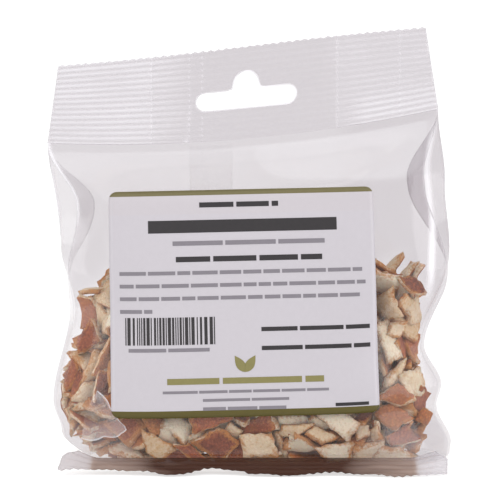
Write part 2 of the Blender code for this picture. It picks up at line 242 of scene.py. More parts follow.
@dataclass
class BagForm:
    """The form in which the filled bag stands: one closed section for each height."""

    middle: Vector = field(default_factory=lambda: Vector((0.31 * MM, -0.73 * MM, 0.0)))
    shoulder_height: float = 107.0 * MM
    shoulder_slope: float = math.tan(math.radians(5.2))
    shoulder_rise: float = 4.2 * MM
    shoulder_run: float = 20.0 * MM
    half_width: float = 65.0 * MM
    base_round: float = 8.5 * MM
    side_round: float = 3.5 * MM
    front_foot: float = 25.2 * MM
    front_lean: float = math.tan(math.radians(13.4))
    back_foot: float = 31.5 * MM
    back_lean: float = math.tan(math.radians(9.5))
    header_place: float = 4.5 * MM
    film_gap: float = 1.0 * MM
    gusset_inward: float = 9.5 * MM
    gusset_start: float = 52.0 * MM
    crease_inset: float = 8.0 * MM
    panel_power: float = 5.0
    full_sag: float = 0.38
    slack_sag: float = 0.30
    side_bulge: float = 1.5 * MM
    fill_height: float = 66.0 * MM
    edge_crowding: float = 0.5
    left_side: tuple = stations(
        (0.0, 57.0), (8.5, 63.2), (19.0, 66.0), (50.0, 60.3), (70.0, 64.6), (107.0, 67.2),
    )
    right_side: tuple = stations(
        (0.0, 69.5), (4.0, 68.5), (17.5, 63.2), (24.5, 64.8), (37.5, 59.0), (64.0, 69.0), (84.0, 66.6),
        (107.0, 63.0),
    )

    def base_inset(self, height: float, radius: float) -> float:
        """How far the rounded lower edge draws in at a height."""
        left = 1.0 - min(max(height, 0.0) / self.base_round, 1.0)
        return radius * (1.0 - math.sqrt(1.0 - left * left))

    def shoulder_share(self, height: float) -> float:
        """How far the panels have come together, from 0 to 1 at the header."""
        return ease((height - self.shoulder_height + self.shoulder_run) / self.shoulder_run)

    def front_place(self, height: float) -> float:
        """Y of the front panel's middle at a height."""
        free = self.front_lean * height - self.front_foot + self.base_inset(height, self.base_round)
        return mix(free, self.header_place - self.film_gap / 2, self.shoulder_share(height))

    def back_place(self, height: float) -> float:
        """Y of the back panel's middle at a height."""
        free = self.back_foot - self.back_lean * height - self.base_inset(height, self.base_round)
        return mix(free, self.header_place + self.film_gap / 2, self.shoulder_share(height))

    def open_share(self, height: float) -> float:
        """1 where the peel fills the bag, easing to 0 where the gusset folds in."""
        run = self.shoulder_height - self.shoulder_run - self.gusset_start
        return 1.0 - ease((height - self.gusset_start) / run)

    def panel_sag(self, height: float) -> float:
        """How far a panel's side edges lie behind its middle."""
        depth = self.back_place(height) - self.front_place(height)
        share = mix(self.slack_sag, self.full_sag, self.open_share(height))
        return depth * share * (1.0 - self.shoulder_share(height))

    def folded_share(self, height: float) -> float:
        """How deep the gusset's fold is at a height, from 0 to 1."""
        return (1.0 - self.open_share(height)) * (1.0 - self.shoulder_share(height))

    def crease(self, height: float, side: int, front: bool) -> tuple[float, float]:
        """Find the crease between a panel and the gusset on one side.

        Args:
            height: Height on the bag.
            side: -1 for the left, 1 for the right.
            front: Whether it is the front panel's crease.

        Returns:
            X and Y of the crease.
        """
        profile = self.left_side if side < 0 else self.right_side
        width = along(profile, height) - self.base_inset(height, self.side_round)
        width -= self.side_bulge * self.open_share(height)
        if front:
            inset = self.crease_inset * self.folded_share(height)
            return side * (width - inset), self.front_place(height) + self.panel_sag(height)
        sag = self.panel_sag(height) * mix(0.4, 1.0, self.open_share(height))
        return side * width, self.back_place(height) - sag

    def section_point(self, place: float, height: float) -> tuple[float, float]:
        """Find a point of the section at a height.

        Args:
            place: 0 to 4 round the four sides: front, right, back and left.
            height: Height on the bag.

        Returns:
            X and Y of the point.
        """
        side = int(place) % 4
        share = place - int(place)
        if side in (0, 2):
            front = side == 0
            start, end = self.crease(height, -1, front), self.crease(height, 1, front)
            if not front:
                start, end = end, start
            middle = self.front_place(height) if front else self.back_place(height)
            bow = abs(2.0 * share - 1.0) ** self.panel_power
            return mix(start[0], end[0], share), mix(middle, start[1], bow)
        outward = 1 if side == 1 else -1
        start = self.crease(height, outward, side == 1)
        end = self.crease(height, outward, side == 3)
        fold = 1.0 - abs(2.0 * share - 1.0)
        bulge = self.side_bulge * self.open_share(height) * math.sin(math.pi * share)
        inward = self.gusset_inward * self.folded_share(height) * fold
        return mix(start[0], end[0], share) + outward * (bulge - inward), mix(start[1], end[1], share)

    def shoulder_lift(self, x: float) -> float:
        """How much higher than its middle the line under the header lies."""
        return self.shoulder_slope * x + self.shoulder_rise * (x / self.half_width) ** 2

    def tilted_height(self, x: float, height: float) -> float:
        """Height after the slack upper bag has leaned over with its header."""
        slack_from = self.fill_height / 2
        share = ease((height - slack_from) / (self.shoulder_height - slack_from))
        return height + self.shoulder_lift(x) * share

    def point(self, place: float, height: float) -> Vector:
        """Point of the film round the section at a height, in the frame."""
        x, y = self.section_point(place, height)
        return Vector((x, y, self.tilted_height(x, height))) - self.middle

    def panel_y(self, x: float, z: float, front: bool = True) -> float:
        """Find how far back a panel lies at a point of the upright view.

        Args:
            x: Place across the bag.
            z: Height.
            front: Whether it is the front panel or the back one.

        Returns:
            Y of the panel in the frame.
        """
        x, height = x + self.middle.x, z
        for _ in range(3):
            height += z - self.tilted_height(x, height)
        left, right = self.crease(height, -1, front), self.crease(height, 1, front)
        across = 2.0 * (x - left[0]) / (right[0] - left[0]) - 1.0
        bow = min(abs(across), 1.0) ** self.panel_power
        middle = self.front_place(height) if front else self.back_place(height)
        return mix(middle, left[1], bow) - self.middle.y

    def tube(self, counts: tuple[int, int], heights: list[float]) -> bmesh.types.BMesh:
        """Make the tube of film that follows the form, closed below and open at the top.

        Args:
            counts: Columns across a panel and across a gusset.
            heights: Heights of its rings, lowest first.

        Returns:
            The tube, its vertices' places in layers named place and height.
        """
        panel, gusset = counts
        columns = 2 * (panel + gusset)
        shape = bmesh.new()
        bmesh.ops.create_cone(shape, cap_ends=True, segments=columns, radius1=1.0, radius2=1.0, depth=1.0)
        upright = [edge for edge in shape.edges if abs(edge.verts[0].co.z - edge.verts[1].co.z) > 0.5]
        bmesh.ops.subdivide_edges(shape, edges=upright, cuts=len(heights) - 2, use_grid_fill=True)
        caps = [face for face in shape.faces if len(face.verts) == columns]
        lids = [face for face in caps if face.calc_center_median().z > 0.0]
        bmesh.ops.delete(shape, geom=lids, context="FACES_ONLY")
        places = []
        for side, count in enumerate((panel, gusset, panel, gusset)):
            for i in range(count):
                share = i / count
                share -= self.edge_crowding * math.sin(2.0 * math.pi * share) / (2.0 * math.pi)
                places.append(side + share)
        rounds = shape.verts.layers.float.new("place")
        levels = shape.verts.layers.float.new("height")
        for vert in shape.verts:
            turn = math.atan2(vert.co.y, vert.co.x) % (2.0 * math.pi)
            vert[rounds] = places[round(turn / (2.0 * math.pi) * columns) % columns]
            vert[levels] = heights[round((vert.co.z + 0.5) * (len(heights) - 1))]
            vert.co = self.point(vert[rounds], vert[levels])
        shape.normal_update()
        return shape

    def ring_heights(self, low_rings: int, step: float, top: float) -> list[float]:
        """Heights of rings up the bag, closer together round its lower edge."""
        quarter = math.pi / 2
        low = [self.base_round * (1.0 - math.cos(quarter * i / low_rings)) for i in range(low_rings)]
        count = round((top - self.base_round) / step)
        return low + [mix(self.base_round, top, i / count) for i in range(count + 1)]


@dataclass(frozen=True)
class PeelFinish:
    """Air-dried cut orange peel: matt, cottony cream pith and a pitted, brown-orange skin."""

    pith_pale: str = "F5E8CF"
    pith_dark: str = "DDB98A"
    skin_dark: str = "8A4429"
    skin_warm: str = "B8643E"
    skin_bright: str = "D58B4C"
    toast: str = "CC8A48"
    burnt: str = "93532B"
    # Real pith fibres are about 0.3 mm wide: they are drawn coarser so that they show.
    fibre_size: float = 0.9 * MM
    pore_size: float = 0.9 * MM
    patch_size: float = 3.2 * MM

    def build(self) -> bpy.types.Material:
        """Make the peel material; each piece's own attributes place skin, pith and toast."""
        material, tree, output = new_tree("dried_peel")
        where = add_node(tree, "ShaderNodeTexCoord").outputs["Object"]
        skin = add_node(tree, "ShaderNodeAttribute", attribute_name="skin").outputs["Fac"]
        toast = add_node(tree, "ShaderNodeAttribute", attribute_name="toast").outputs["Fac"]
        tone = add_node(tree, "ShaderNodeAttribute", attribute_name="tone").outputs["Fac"]
        patches = add_node(tree, "ShaderNodeTexNoise", {"Scale": 1.0 / self.patch_size, "Detail": 3.0},
                           {"Vector": where}).outputs["Fac"]
        fibres = add_node(tree, "ShaderNodeTexNoise", {"Scale": 1.0 / self.fibre_size, "Detail": 4.0,
                                                       "Roughness": 0.65}, {"Vector": where}).outputs["Fac"]
        pores = add_node(tree, "ShaderNodeTexVoronoi", {"Scale": 1.0 / self.pore_size},
                         {"Vector": where}).outputs["Distance"]
        speckle = add_node(tree, "ShaderNodeMath", {1: 1.3, 2: -0.62}, {0: fibres}, operation="MULTIPLY_ADD")
        spread = add_node(tree, "ShaderNodeMath", {1: 0.6}, {0: patches, 2: speckle.outputs[0]},
                          operation="MULTIPLY_ADD")
        pith_mix = add_node(tree, "ShaderNodeMath", {1: 0.9, 2: -0.05}, {0: tone}, operation="MULTIPLY_ADD")
        pith_mix = add_node(tree, "ShaderNodeMath", None, {0: pith_mix.outputs[0], 1: spread.outputs[0]},
                            operation="ADD")
        pith_mix = add_node(tree, "ShaderNodeMath", {1: 0.42}, {0: pith_mix.outputs[0]}, operation="SUBTRACT",
                            use_clamp=True)
        pith = add_node(tree, "ShaderNodeMix", {6: linear(self.pith_pale), 7: linear(self.pith_dark)},
                        {0: pith_mix.outputs[0]}, data_type="RGBA").outputs[2]
        skin_ramp = add_node(tree, "ShaderNodeValToRGB")
        shown = skin_ramp.color_ramp
        shown.elements[0].position, shown.elements[0].color = 0.25, linear(self.skin_dark)
        shown.elements[1].position, shown.elements[1].color = 0.95, linear(self.skin_bright)
        middle = shown.elements.new(0.55)
        middle.color = linear(self.skin_warm)
        skin_speckle = add_node(tree, "ShaderNodeMath", {1: 0.7, 2: -0.33}, {0: fibres},
                                operation="MULTIPLY_ADD")
        skin_mix = add_node(tree, "ShaderNodeMath", {1: 0.6}, {0: tone, 2: skin_speckle.outputs[0]},
                            operation="MULTIPLY_ADD")
        skin_mix = add_node(tree, "ShaderNodeMath", {1: 0.5}, {0: patches, 2: skin_mix.outputs[0]},
                            operation="MULTIPLY_ADD")
        tree.links.new(skin_mix.outputs[0], skin_ramp.inputs["Fac"])
        pore_shade = add_node(tree, "ShaderNodeMapRange", {1: 0.1, 2: 0.55, 3: 1.12, 4: 0.72}, {0: pores})
        pitted = add_node(tree, "ShaderNodeMix", {0: 1.0}, {6: skin_ramp.outputs["Color"],
                                                            7: pore_shade.outputs[0]},
                          data_type="RGBA", blend_type="MULTIPLY").outputs[2]
        ragged = add_node(tree, "ShaderNodeMath", {1: 0.16, 2: -0.08}, {0: fibres}, operation="MULTIPLY_ADD")
        ragged = add_node(tree, "ShaderNodeMath", None, {0: skin, 1: ragged.outputs[0]}, operation="ADD")
        skin_line = add_node(tree, "ShaderNodeMapRange", {1: 0.74, 2: 0.84}, {0: ragged.outputs[0]})
        body = add_node(tree, "ShaderNodeMix", None, {0: skin_line.outputs[0], 6: pith, 7: pitted},
                        data_type="RGBA").outputs[2]
        scorch = add_node(tree, "ShaderNodeMath", {1: 1.8, 2: -0.8}, {0: fibres}, operation="MULTIPLY_ADD")
        scorch = add_node(tree, "ShaderNodeMath", None, {0: toast, 1: scorch.outputs[0]}, operation="ADD")
        scorch = add_node(tree, "ShaderNodeMapRange", {1: 0.25, 2: 0.85, 3: 0.0, 4: 0.9},
                          {0: scorch.outputs[0]})
        dots = add_node(tree, "ShaderNodeMapRange", {1: 0.30, 2: 0.12, 3: 0.0, 4: 1.0}, {0: pores})
        toast_colour = add_node(tree, "ShaderNodeMix", {6: linear(self.toast), 7: linear(self.burnt)},
                                {0: dots.outputs[0]}, data_type="RGBA").outputs[2]
        colour = add_node(tree, "ShaderNodeMix", None, {0: scorch.outputs[0], 6: body, 7: toast_colour},
                          data_type="RGBA").outputs[2]
        rough = add_node(tree, "ShaderNodeMapRange", {1: 0.0, 2: 1.0, 3: 0.92, 4: 0.62},
                         {0: skin_line.outputs[0]})
        pith_bump = add_node(tree, "ShaderNodeBump", {"Strength": 0.9, "Distance": 0.7 * MM},
                             {"Height": fibres})
        skin_bump = add_node(tree, "ShaderNodeBump", {"Strength": 0.5, "Distance": 0.2 * MM},
                             {"Height": pores, "Normal": pith_bump.outputs[0]}, invert=True)
        surface = add_node(tree, "ShaderNodeBsdfPrincipled",
                           {"IOR": 1.45, "Subsurface Weight": 0.25, "Subsurface Scale": 1.2 * MM,
                            "Subsurface Radius": (1.0, 0.55, 0.3)},
                           {"Base Color": colour, "Roughness": rough.outputs[0],
                            "Normal": skin_bump.outputs[0]})
        tree.links.new(surface.outputs[0], output.inputs["Surface"])
        return material


@dataclass(frozen=True)
class FilmFinish:
    """Cast polypropylene film: clear and glossy, milky where it is crimped, creased or lies in layers. Its
    milky layer also carries painted highlights and glints, and its darkening also carries painted shade.
    """

    name: str = "clear_film"
    smoke_and_shade: str = "E4E1E3"
    haze_and_highlight_colour: str = "F2F0F4"
    # These two browns are painted shade, paler and darker: the peel lying in shade behind the seal and the
    # shade under the bag.
    thin_painted_shade: str = "A08A80"
    painted_shade_colour: str = "42261B"
    gloss_least: float = 0.035
    gloss_most: float = 0.55
    gloss_rough: float = 0.13
    haze_rough: float = 0.5
    haze_ior: float = 1.3

    def build(self) -> bpy.types.Material:
        """Make the film; its attributes say how smoky and milky it is, where highlights and shade are painted
        on it, and where the seal shows the painted shade of the shaded peel as dark brown.
        """
        material, tree, output = new_tree(self.name)
        # This attribute holds the milky film and the painted highlights and glints alike.
        haze_and_highlight = add_node(tree, "ShaderNodeAttribute", attribute_name="haze_and_highlight").outputs["Fac"]
        smoke_and_shade = add_node(tree, "ShaderNodeAttribute", attribute_name="smoke_and_shade").outputs["Fac"]
        painted_shade = add_node(tree, "ShaderNodeAttribute", attribute_name="painted_shade").outputs["Fac"]
        tint = add_node(tree, "ShaderNodeMix", {6: linear("FFFFFF"), 7: linear(self.smoke_and_shade)}, {0: smoke_and_shade},
                        data_type="RGBA").outputs[2]
        clear = add_node(tree, "ShaderNodeBsdfTransparent", None, {"Color": tint})
        # The ramp's white is the milky film; its browns are painted shade, used where the seal lies over the
        # shaded peel.
        milk_and_shade_ramp = add_node(tree, "ShaderNodeValToRGB", None, {"Fac": painted_shade})
        ramp = milk_and_shade_ramp.color_ramp
        ramp.elements[0].color = linear(self.haze_and_highlight_colour)
        ramp.elements[1].color = linear(self.painted_shade_colour)
        ramp.elements.new(0.45).color = linear(self.thin_painted_shade)
        milk_and_shade = milk_and_shade_ramp.outputs["Color"]
        haze_and_painted_light = add_node(tree, "ShaderNodeBsdfPrincipled",
                        {"Roughness": self.haze_rough, "IOR": self.haze_ior}, {"Base Color": milk_and_shade})
        body = add_node(tree, "ShaderNodeMixShader", None, {0: haze_and_highlight, 1: clear.outputs[0], 2: haze_and_painted_light.outputs[0]})
        facing = add_node(tree, "ShaderNodeLayerWeight", {"Blend": 0.5}).outputs["Facing"]
        edge = add_node(tree, "ShaderNodeMath", {1: 4.0}, {0: facing}, operation="POWER").outputs[0]
        share = add_node(tree, "ShaderNodeMapRange", {3: self.gloss_least, 4: self.gloss_most}, {0: edge})
        # Gloss is taken away where the painted shade lies, so that it stays dark.
        shade_dulling = add_node(tree, "ShaderNodeMath", {0: 1.0}, {1: painted_shade}, operation="SUBTRACT")
        share = add_node(tree, "ShaderNodeMath", None, {0: share.outputs[0], 1: shade_dulling.outputs[0]},
                         operation="MULTIPLY")
        gloss = add_node(tree, "ShaderNodeBsdfGlossy", {"Color": (1.0, 1.0, 1.0, 1.0),
                                                        "Roughness": self.gloss_rough})
        shown = add_node(tree, "ShaderNodeMixShader", None,
                         {0: share.outputs[0], 1: body.outputs[0], 2: gloss.outputs[0]})
        tree.links.new(shown.outputs[0], output.inputs["Surface"])
        return material


@dataclass(frozen=True)
class PrintFinish:
    """Coated label paper or flat ink on it: smooth, slightly glossy, with a faint paper grain."""

    name: str
    colour: str
    shade: str
    rough: float = 0.38
    # Real paper grain is too fine to show, so this is the coarser cloudiness of the coating.
    grain: float = 1.6 * MM

    def build(self) -> bpy.types.Material:
        """Make the paper or ink."""
        material, tree, output = new_tree(self.name)
        where = add_node(tree, "ShaderNodeTexCoord").outputs["Object"]
        cloud = add_node(tree, "ShaderNodeTexNoise", {"Scale": 1.0 / self.grain, "Detail": 4.0},
                         {"Vector": where}).outputs["Fac"]
        colour = add_node(tree, "ShaderNodeMix", {6: linear(self.colour), 7: linear(self.shade)},
                          {0: cloud}, data_type="RGBA").outputs[2]
        bump = add_node(tree, "ShaderNodeBump", {"Strength": 0.05, "Distance": 0.05 * MM}, {"Height": cloud})
        surface = add_node(tree, "ShaderNodeBsdfPrincipled", {"Roughness": self.rough, "IOR": 1.5},
                           {"Base Color": colour, "Normal": bump.outputs[0]})
        tree.links.new(surface.outputs[0], output.inputs["Surface"])
        return material


class PeelCut(Enum):
    """How the peel was cut."""

    SQUARE = "square"
    STRIP = "strip"
    BIT = "bit"


@dataclass
class PeelShape:
    """One cut piece of peel: a bent slab with uneven corners, skin on one face."""

    cut: PeelCut
    length: float
    width: float
    thickness: float
    corners: list[tuple[float, float]]
    bend: float
    bend_turn: float
    toast: float
    seed: float

    @classmethod
    def draw(cls, cut: PeelCut, rng: random.Random) -> PeelShape:
        """Draw a piece's sizes at random for its cut.

        Args:
            cut: How it was cut.
            rng: Seeded source of the draw.

        Returns:
            The drawn piece.
        """
        spans = {PeelCut.SQUARE: ((9.0, 12.5), (8.0, 11.0)), PeelCut.STRIP: ((10.0, 15.0), (4.5, 6.5)),
                 PeelCut.BIT: ((4.5, 7.0), (3.5, 5.5))}[cut]
        length, width = rng.uniform(*spans[0]) * MM, rng.uniform(*spans[1]) * MM
        jitter = 0.22 * min(length, width)
        corners = [(rng.uniform(-jitter, jitter), rng.uniform(-jitter, jitter)) for _ in range(4)]
        if rng.random() < 0.5:
            spot = rng.randrange(4)
            pull = rng.uniform(0.25, 0.55)
            side = ((1, 1), (-1, 1), (-1, -1), (1, -1))[spot]
            corners[spot] = (side[0] * pull * length, side[1] * pull * width * rng.uniform(0.2, 0.9))
        bend = rng.choice((1.0, 1.0, 1.0, -1.0)) * rng.uniform(0.15, 1.1) / length
        return cls(cut, length, width, rng.uniform(1.7, 2.8) * MM, corners, bend,
                   rng.uniform(0.0, math.pi), rng.uniform(0.4, 1.1), rng.uniform(0.0, 99.0))

    def place(self, u: float, v: float, w: float) -> Vector:
        """Find a point of the piece.

        Args:
            u: -0.5 to 0.5 along it.
            v: -0.5 to 0.5 across it.
            w: 0 on the pith face to 1 on the skin.

        Returns:
            The point, round the piece's own middle.
        """
        x, y = u * self.length, v * self.width
        for (dx, dy), (su, sv) in zip(self.corners, ((-1, -1), (1, -1), (1, 1), (-1, 1))):
            near = (0.5 + su * u) * (0.5 + sv * v)
            x, y = x + dx * near, y + dy * near
        rim = max(abs(u), abs(v)) * 2.0
        own = Vector((self.seed,) * 3)
        ragged = noise.noise(Vector((x, y, w * self.thickness * 0.5)) / (2.6 * MM) + own)
        ragged += 0.5 * noise.noise(Vector((x, y, w * self.thickness)) / (1.3 * MM) + own)
        x, y = x * (1.0 + 0.26 * ragged * rim ** 3), y * (1.0 + 0.26 * ragged * rim ** 3)
        lumps = noise.noise(Vector((x, y, w)) / (3.0 * MM) + Vector((0.0, self.seed, 5.0)))
        lumps += 0.5 * noise.noise(Vector((x, y, w)) / (1.5 * MM) + Vector((self.seed, 0.0, 9.0)))
        depth = (w - 0.5) * self.thickness * (1.0 - 0.25 * rim ** 6) + lumps * mix(0.35, 0.12, w) * MM
        turn_x, turn_y = math.cos(self.bend_turn), math.sin(self.bend_turn)
        run, side = x * turn_x + y * turn_y, y * turn_x - x * turn_y
        angle = run * self.bend
        bent = (1.0 / self.bend - depth) * math.sin(angle)
        rise = 1.0 / self.bend - (1.0 / self.bend - depth) * math.cos(angle)
        return Vector((bent * turn_x - side * turn_y, bent * turn_y + side * turn_x, rise))

    def build(self, cells: int) -> bmesh.types.BMesh:
        """Make the piece as a closed slab.

        Args:
            cells: Cells along each edge.

        Returns:
            The slab, with skin and toast layers on its vertices.
        """
        shape = bmesh.new()
        bmesh.ops.create_grid(shape, x_segments=cells, y_segments=cells, size=0.5)
        raised = bmesh.ops.extrude_face_region(shape, geom=shape.faces[:], use_keep_orig=True)["geom"]
        lifted = [part for part in raised if isinstance(part, bmesh.types.BMVert)]
        bmesh.ops.translate(shape, vec=(0.0, 0.0, 1.0), verts=lifted)
        bmesh.ops.recalc_face_normals(shape, faces=shape.faces)
        skin = shape.verts.layers.float.new("skin")
        toast = shape.verts.layers.float.new("toast")
        for vert in shape.verts:
            u, v, w = vert.co
            rim = max(abs(u), abs(v)) * 2.0
            blotch = uneven(u * 2.0, v * 2.0, self.seed)
            vert[skin] = w
            vert[toast] = self.toast * max(ease((rim - 0.6) / 0.4) * (0.85 + 1.1 * blotch), 0.0)
            vert.co = self.place(u, v, w)
        return shape


@dataclass
class PeelHeap:
    """The loose peel in the bag: drawn, poured in by a simulation and joined kind by kind."""

    form: BagForm
    counts: dict = field(default_factory=lambda: {PeelCut.SQUARE: 312, PeelCut.STRIP: 98, PeelCut.BIT: 80})
    shapes_per_cut: int = 14
    cells: int = 6
    inner_cells: int = 3
    slab_cells: int = 2
    near_film: float = 13.0 * MM
    wall_gap: float = 0.7 * MM
    wall_columns: tuple[int, int] = (26, 8)
    scale: float = 100.0
    seats: tuple[int, int] = (9, 2)
    seat_spread: tuple[float, float] = (118.0 * MM, 26.0 * MM)
    seat_middle: float = 5.0 * MM
    first_layer: float = 6.0 * MM
    peel_friction: float = 0.45
    wall_friction: float = 0.2
    margins: tuple[float, float] = (0.01, 0.02)
    frames: int = 140
    lean_from: int = 70
    level_from: int = 105
    pull: float = 15.0
    lean: float = 0.8
    side_lean: float = 0.22
    flattening: float = 0.45
    flat_gap: tuple[float, float] = (3.0 * MM, 8.0 * MM)
    turned_gap: float = 18.0 * MM
    pith_share: tuple[float, float] = (0.15, 0.85)
    pith_heights: tuple[float, float] = (36.0 * MM, 20.0 * MM)
    skin_luck: float = 0.55
    skin_corner: tuple[float, float] = (-38.0 * MM, 50.0 * MM)
    right_limit: tuple = stations(
        (0.0, 50.0), (2.0, 53.0), (6.0, 59.0), (15.0, 61.5), (30.0, 59.5), (40.0, 57.5), (60.0, 59.0),
    )
    left_limit: tuple = stations(
        (0.0, 53.0), (9.5, 58.5), (14.0, 63.4), (23.0, 64.4), (35.0, 62.0), (43.0, 58.5), (90.0, 57.5),
    )
    funnel_from: float = 78.0 * MM
    funnel_tops: tuple = (98.0 * MM, 560.0 * MM)
    core_low: tuple = (-40.0 * MM, -9.0 * MM, 4.0 * MM)
    core_high: tuple = (40.0 * MM, 17.0 * MM, 50.0 * MM)
    core_taper: float = 0.45
    layer_step: float = 10.5 * MM

    def container(self) -> bpy.types.Object:
        """Make the enlarged inside of the bag, open into a funnel above the peel."""
        heights = self.form.ring_heights(3, 4.0 * MM, self.form.shoulder_height - self.form.shoulder_run)
        heights = [height for height in heights if height <= self.funnel_from] + list(self.funnel_tops)
        shape = self.form.tube(self.wall_columns, heights)
        level = shape.verts.layers.float["height"]
        around = shape.verts.layers.float["place"]
        drawn = {vert: vert.normal * self.wall_gap for vert in shape.verts}
        for vert in shape.verts:
            if vert[level] > self.funnel_from:
                x, y = self.form.section_point(vert[around], self.funnel_from)
                out = y - self.form.header_place
                vert.co = Vector((x * 1.03, self.form.header_place + out * 1.5, vert[level]))
            else:
                vert.co -= drawn[vert]
                vert.co.x = min(vert.co.x, along(self.right_limit, vert.co.z))
        core = bmesh.ops.create_cube(shape, size=1.0)["verts"]
        for vert in core:
            top = vert.co.z > 0.0
            taper = self.core_taper if top else 1.0
            middle = (Vector(self.core_low) + Vector(self.core_high)) / 2
            size = Vector(self.core_high) - Vector(self.core_low)
            vert.co = middle + Vector((vert.co.x * size.x, vert.co.y * size.y * taper, vert.co.z * size.z))
        bmesh.ops.scale(shape, vec=(self.scale,) * 3, verts=shape.verts)
        return mesh_piece("pouring_form", shape)

    def pour(self, shapes: list[PeelShape], rng: random.Random) -> list[Matrix]:
        """Drop simple slabs of the pieces into the bag and read where they settle.

        Args:
            shapes: The piece that each slab stands for.
            rng: Seeded source of the starting turns.

        Returns:
            One placement for each piece, in the frame.
        """
        scene = bpy.context.scene
        bpy.ops.rigidbody.world_add()
        world = scene.rigidbody_world
        world.substeps_per_frame = 8
        world.solver_iterations = 10
        world.point_cache.frame_start, world.point_cache.frame_end = 1, self.frames
        bag = self.container()
        slabs, meshes = [], {}
        across, deep = self.seats
        for i, shape in enumerate(shapes):
            if id(shape) not in meshes:
                low = shape.build(self.slab_cells)
                bmesh.ops.scale(low, vec=(self.scale,) * 3, verts=low.verts)
                mesh = bpy.data.meshes.new("slab")
                low.to_mesh(mesh)
                low.free()
                meshes[id(shape)] = mesh
            slab = bpy.data.objects.new("slab", meshes[id(shape)])
            scene.collection.objects.link(slab)
            layer, seat = divmod(i, across * deep)
            x = ((seat % across) + 0.5) / across - 0.5 + rng.uniform(-0.01, 0.01)
            y = (seat // across + 0.5) / deep - 0.5
            place = (x * self.seat_spread[0], self.seat_middle + y * self.seat_spread[1],
                     self.funnel_from + self.first_layer + layer * self.layer_step)
            slab.location = Vector(place) * self.scale
            slab.rotation_euler = [rng.uniform(-math.pi, math.pi) for _ in range(3)]
            slabs.append(slab)
        for chosen, role in ((slabs, "ACTIVE"), ([bag], "PASSIVE")):
            bpy.ops.object.select_all(action="DESELECT")
            for item in chosen:
                item.select_set(True)
            bpy.context.view_layer.objects.active = chosen[0]
            bpy.ops.rigidbody.objects_add(type=role)
        for slab in slabs:
            body = slab.rigid_body
            body.collision_shape = "CONVEX_HULL"
            body.friction, body.restitution, body.mass = self.peel_friction, 0.0, 1.0
            body.linear_damping, body.angular_damping = 0.10, 0.30
            body.use_margin, body.collision_margin = True, self.margins[0]
        bag.rigid_body.collision_shape = "MESH"
        bag.rigid_body.friction = self.wall_friction
        bag.rigid_body.use_margin, bag.rigid_body.collision_margin = True, self.margins[1]
        for frame in range(1, self.frames + 1):
            leaning = self.lean * ease((frame - self.lean_from) / 10.0)
            leaning *= 1.0 - ease((frame - self.level_from) / 15.0)
            scene.gravity = Vector((-leaning * self.side_lean, -leaning, -1.0)).normalized() * self.pull
            scene.frame_set(frame)
        placed = []
        for slab in slabs:
            turned = slab.matrix_world.to_quaternion()
            placed.append(self.pressed(slab.matrix_world.translation / self.scale, turned, rng.random()))
        bpy.ops.rigidbody.world_remove()
        for item in slabs + [bag]:
            bpy.data.objects.remove(item)
        for mesh in meshes.values():
            bpy.data.meshes.remove(mesh)
        scene.frame_set(1)
        return placed

    def pressed(self, spot: Vector, turned: Quaternion, luck: float) -> Matrix:
        """Turn a piece that lies near the front film part of the way flat against it.

        Most of those at the top show their pith, and low on the left more of them show skin.

        Args:
            spot: Where the piece settled.
            turned: How it lies there.
            luck: Drawn from 0 to 1, decides whether the piece is turned over.

        Returns:
            The piece's placement.
        """
        gap = spot.y - self.form.panel_y(spot.x, max(spot.z, MM))
        share = self.flattening * (1.0 - ease((gap - self.flat_gap[0]) / self.flat_gap[1]))
        facing = turned @ Vector((0.0, 0.0, 1.0))
        outward = Vector((0.0, -1.0, self.form.front_lean)).normalized()
        wanted = mix(*self.pith_share, ease((spot.z - self.pith_heights[0]) / self.pith_heights[1]))
        show_pith = facing.dot(outward) > 0.1 and luck < wanted
        cornered = spot.x < self.skin_corner[0] and spot.z < self.skin_corner[1]
        show_skin = facing.dot(outward) < -0.1 and luck > self.skin_luck and cornered
        if gap < self.turned_gap and (show_pith or show_skin):
            turned = turned @ Quaternion((1.0, 0.0, 0.0), math.pi)
            facing = -facing
        if facing.dot(outward) < 0.0:
            outward = -outward
        flatter = Quaternion().slerp(facing.rotation_difference(outward), share)
        return Matrix.Translation(spot) @ (flatter @ turned).to_matrix().to_4x4()

    def kept_inside(self, points: list[Vector]) -> Vector:
        """Find the move that brings a turned piece back inside the film and above the base.

        Args:
            points: The piece's corners.

        Returns:
            The move, zero for a piece that is inside.
        """
        up = max(self.wall_gap - min(point.z for point in points), 0.0)
        middle = sum(point.z for point in points) / len(points)
        low, high = -along(self.left_limit, middle), along(self.right_limit, middle)
        aside = max(low - min(point.x for point in points), 0.0)
        aside -= max(max(point.x for point in points) - high, 0.0)
        back = 0.0
        if min(point.y for point in points) < self.form.header_place:
            walls = [self.form.panel_y(point.x, max(point.z, MM)) for point in points]
            back = max(max(wall + self.wall_gap - point.y for wall, point in zip(walls, points)), 0.0)
        return Vector((aside, back, up))

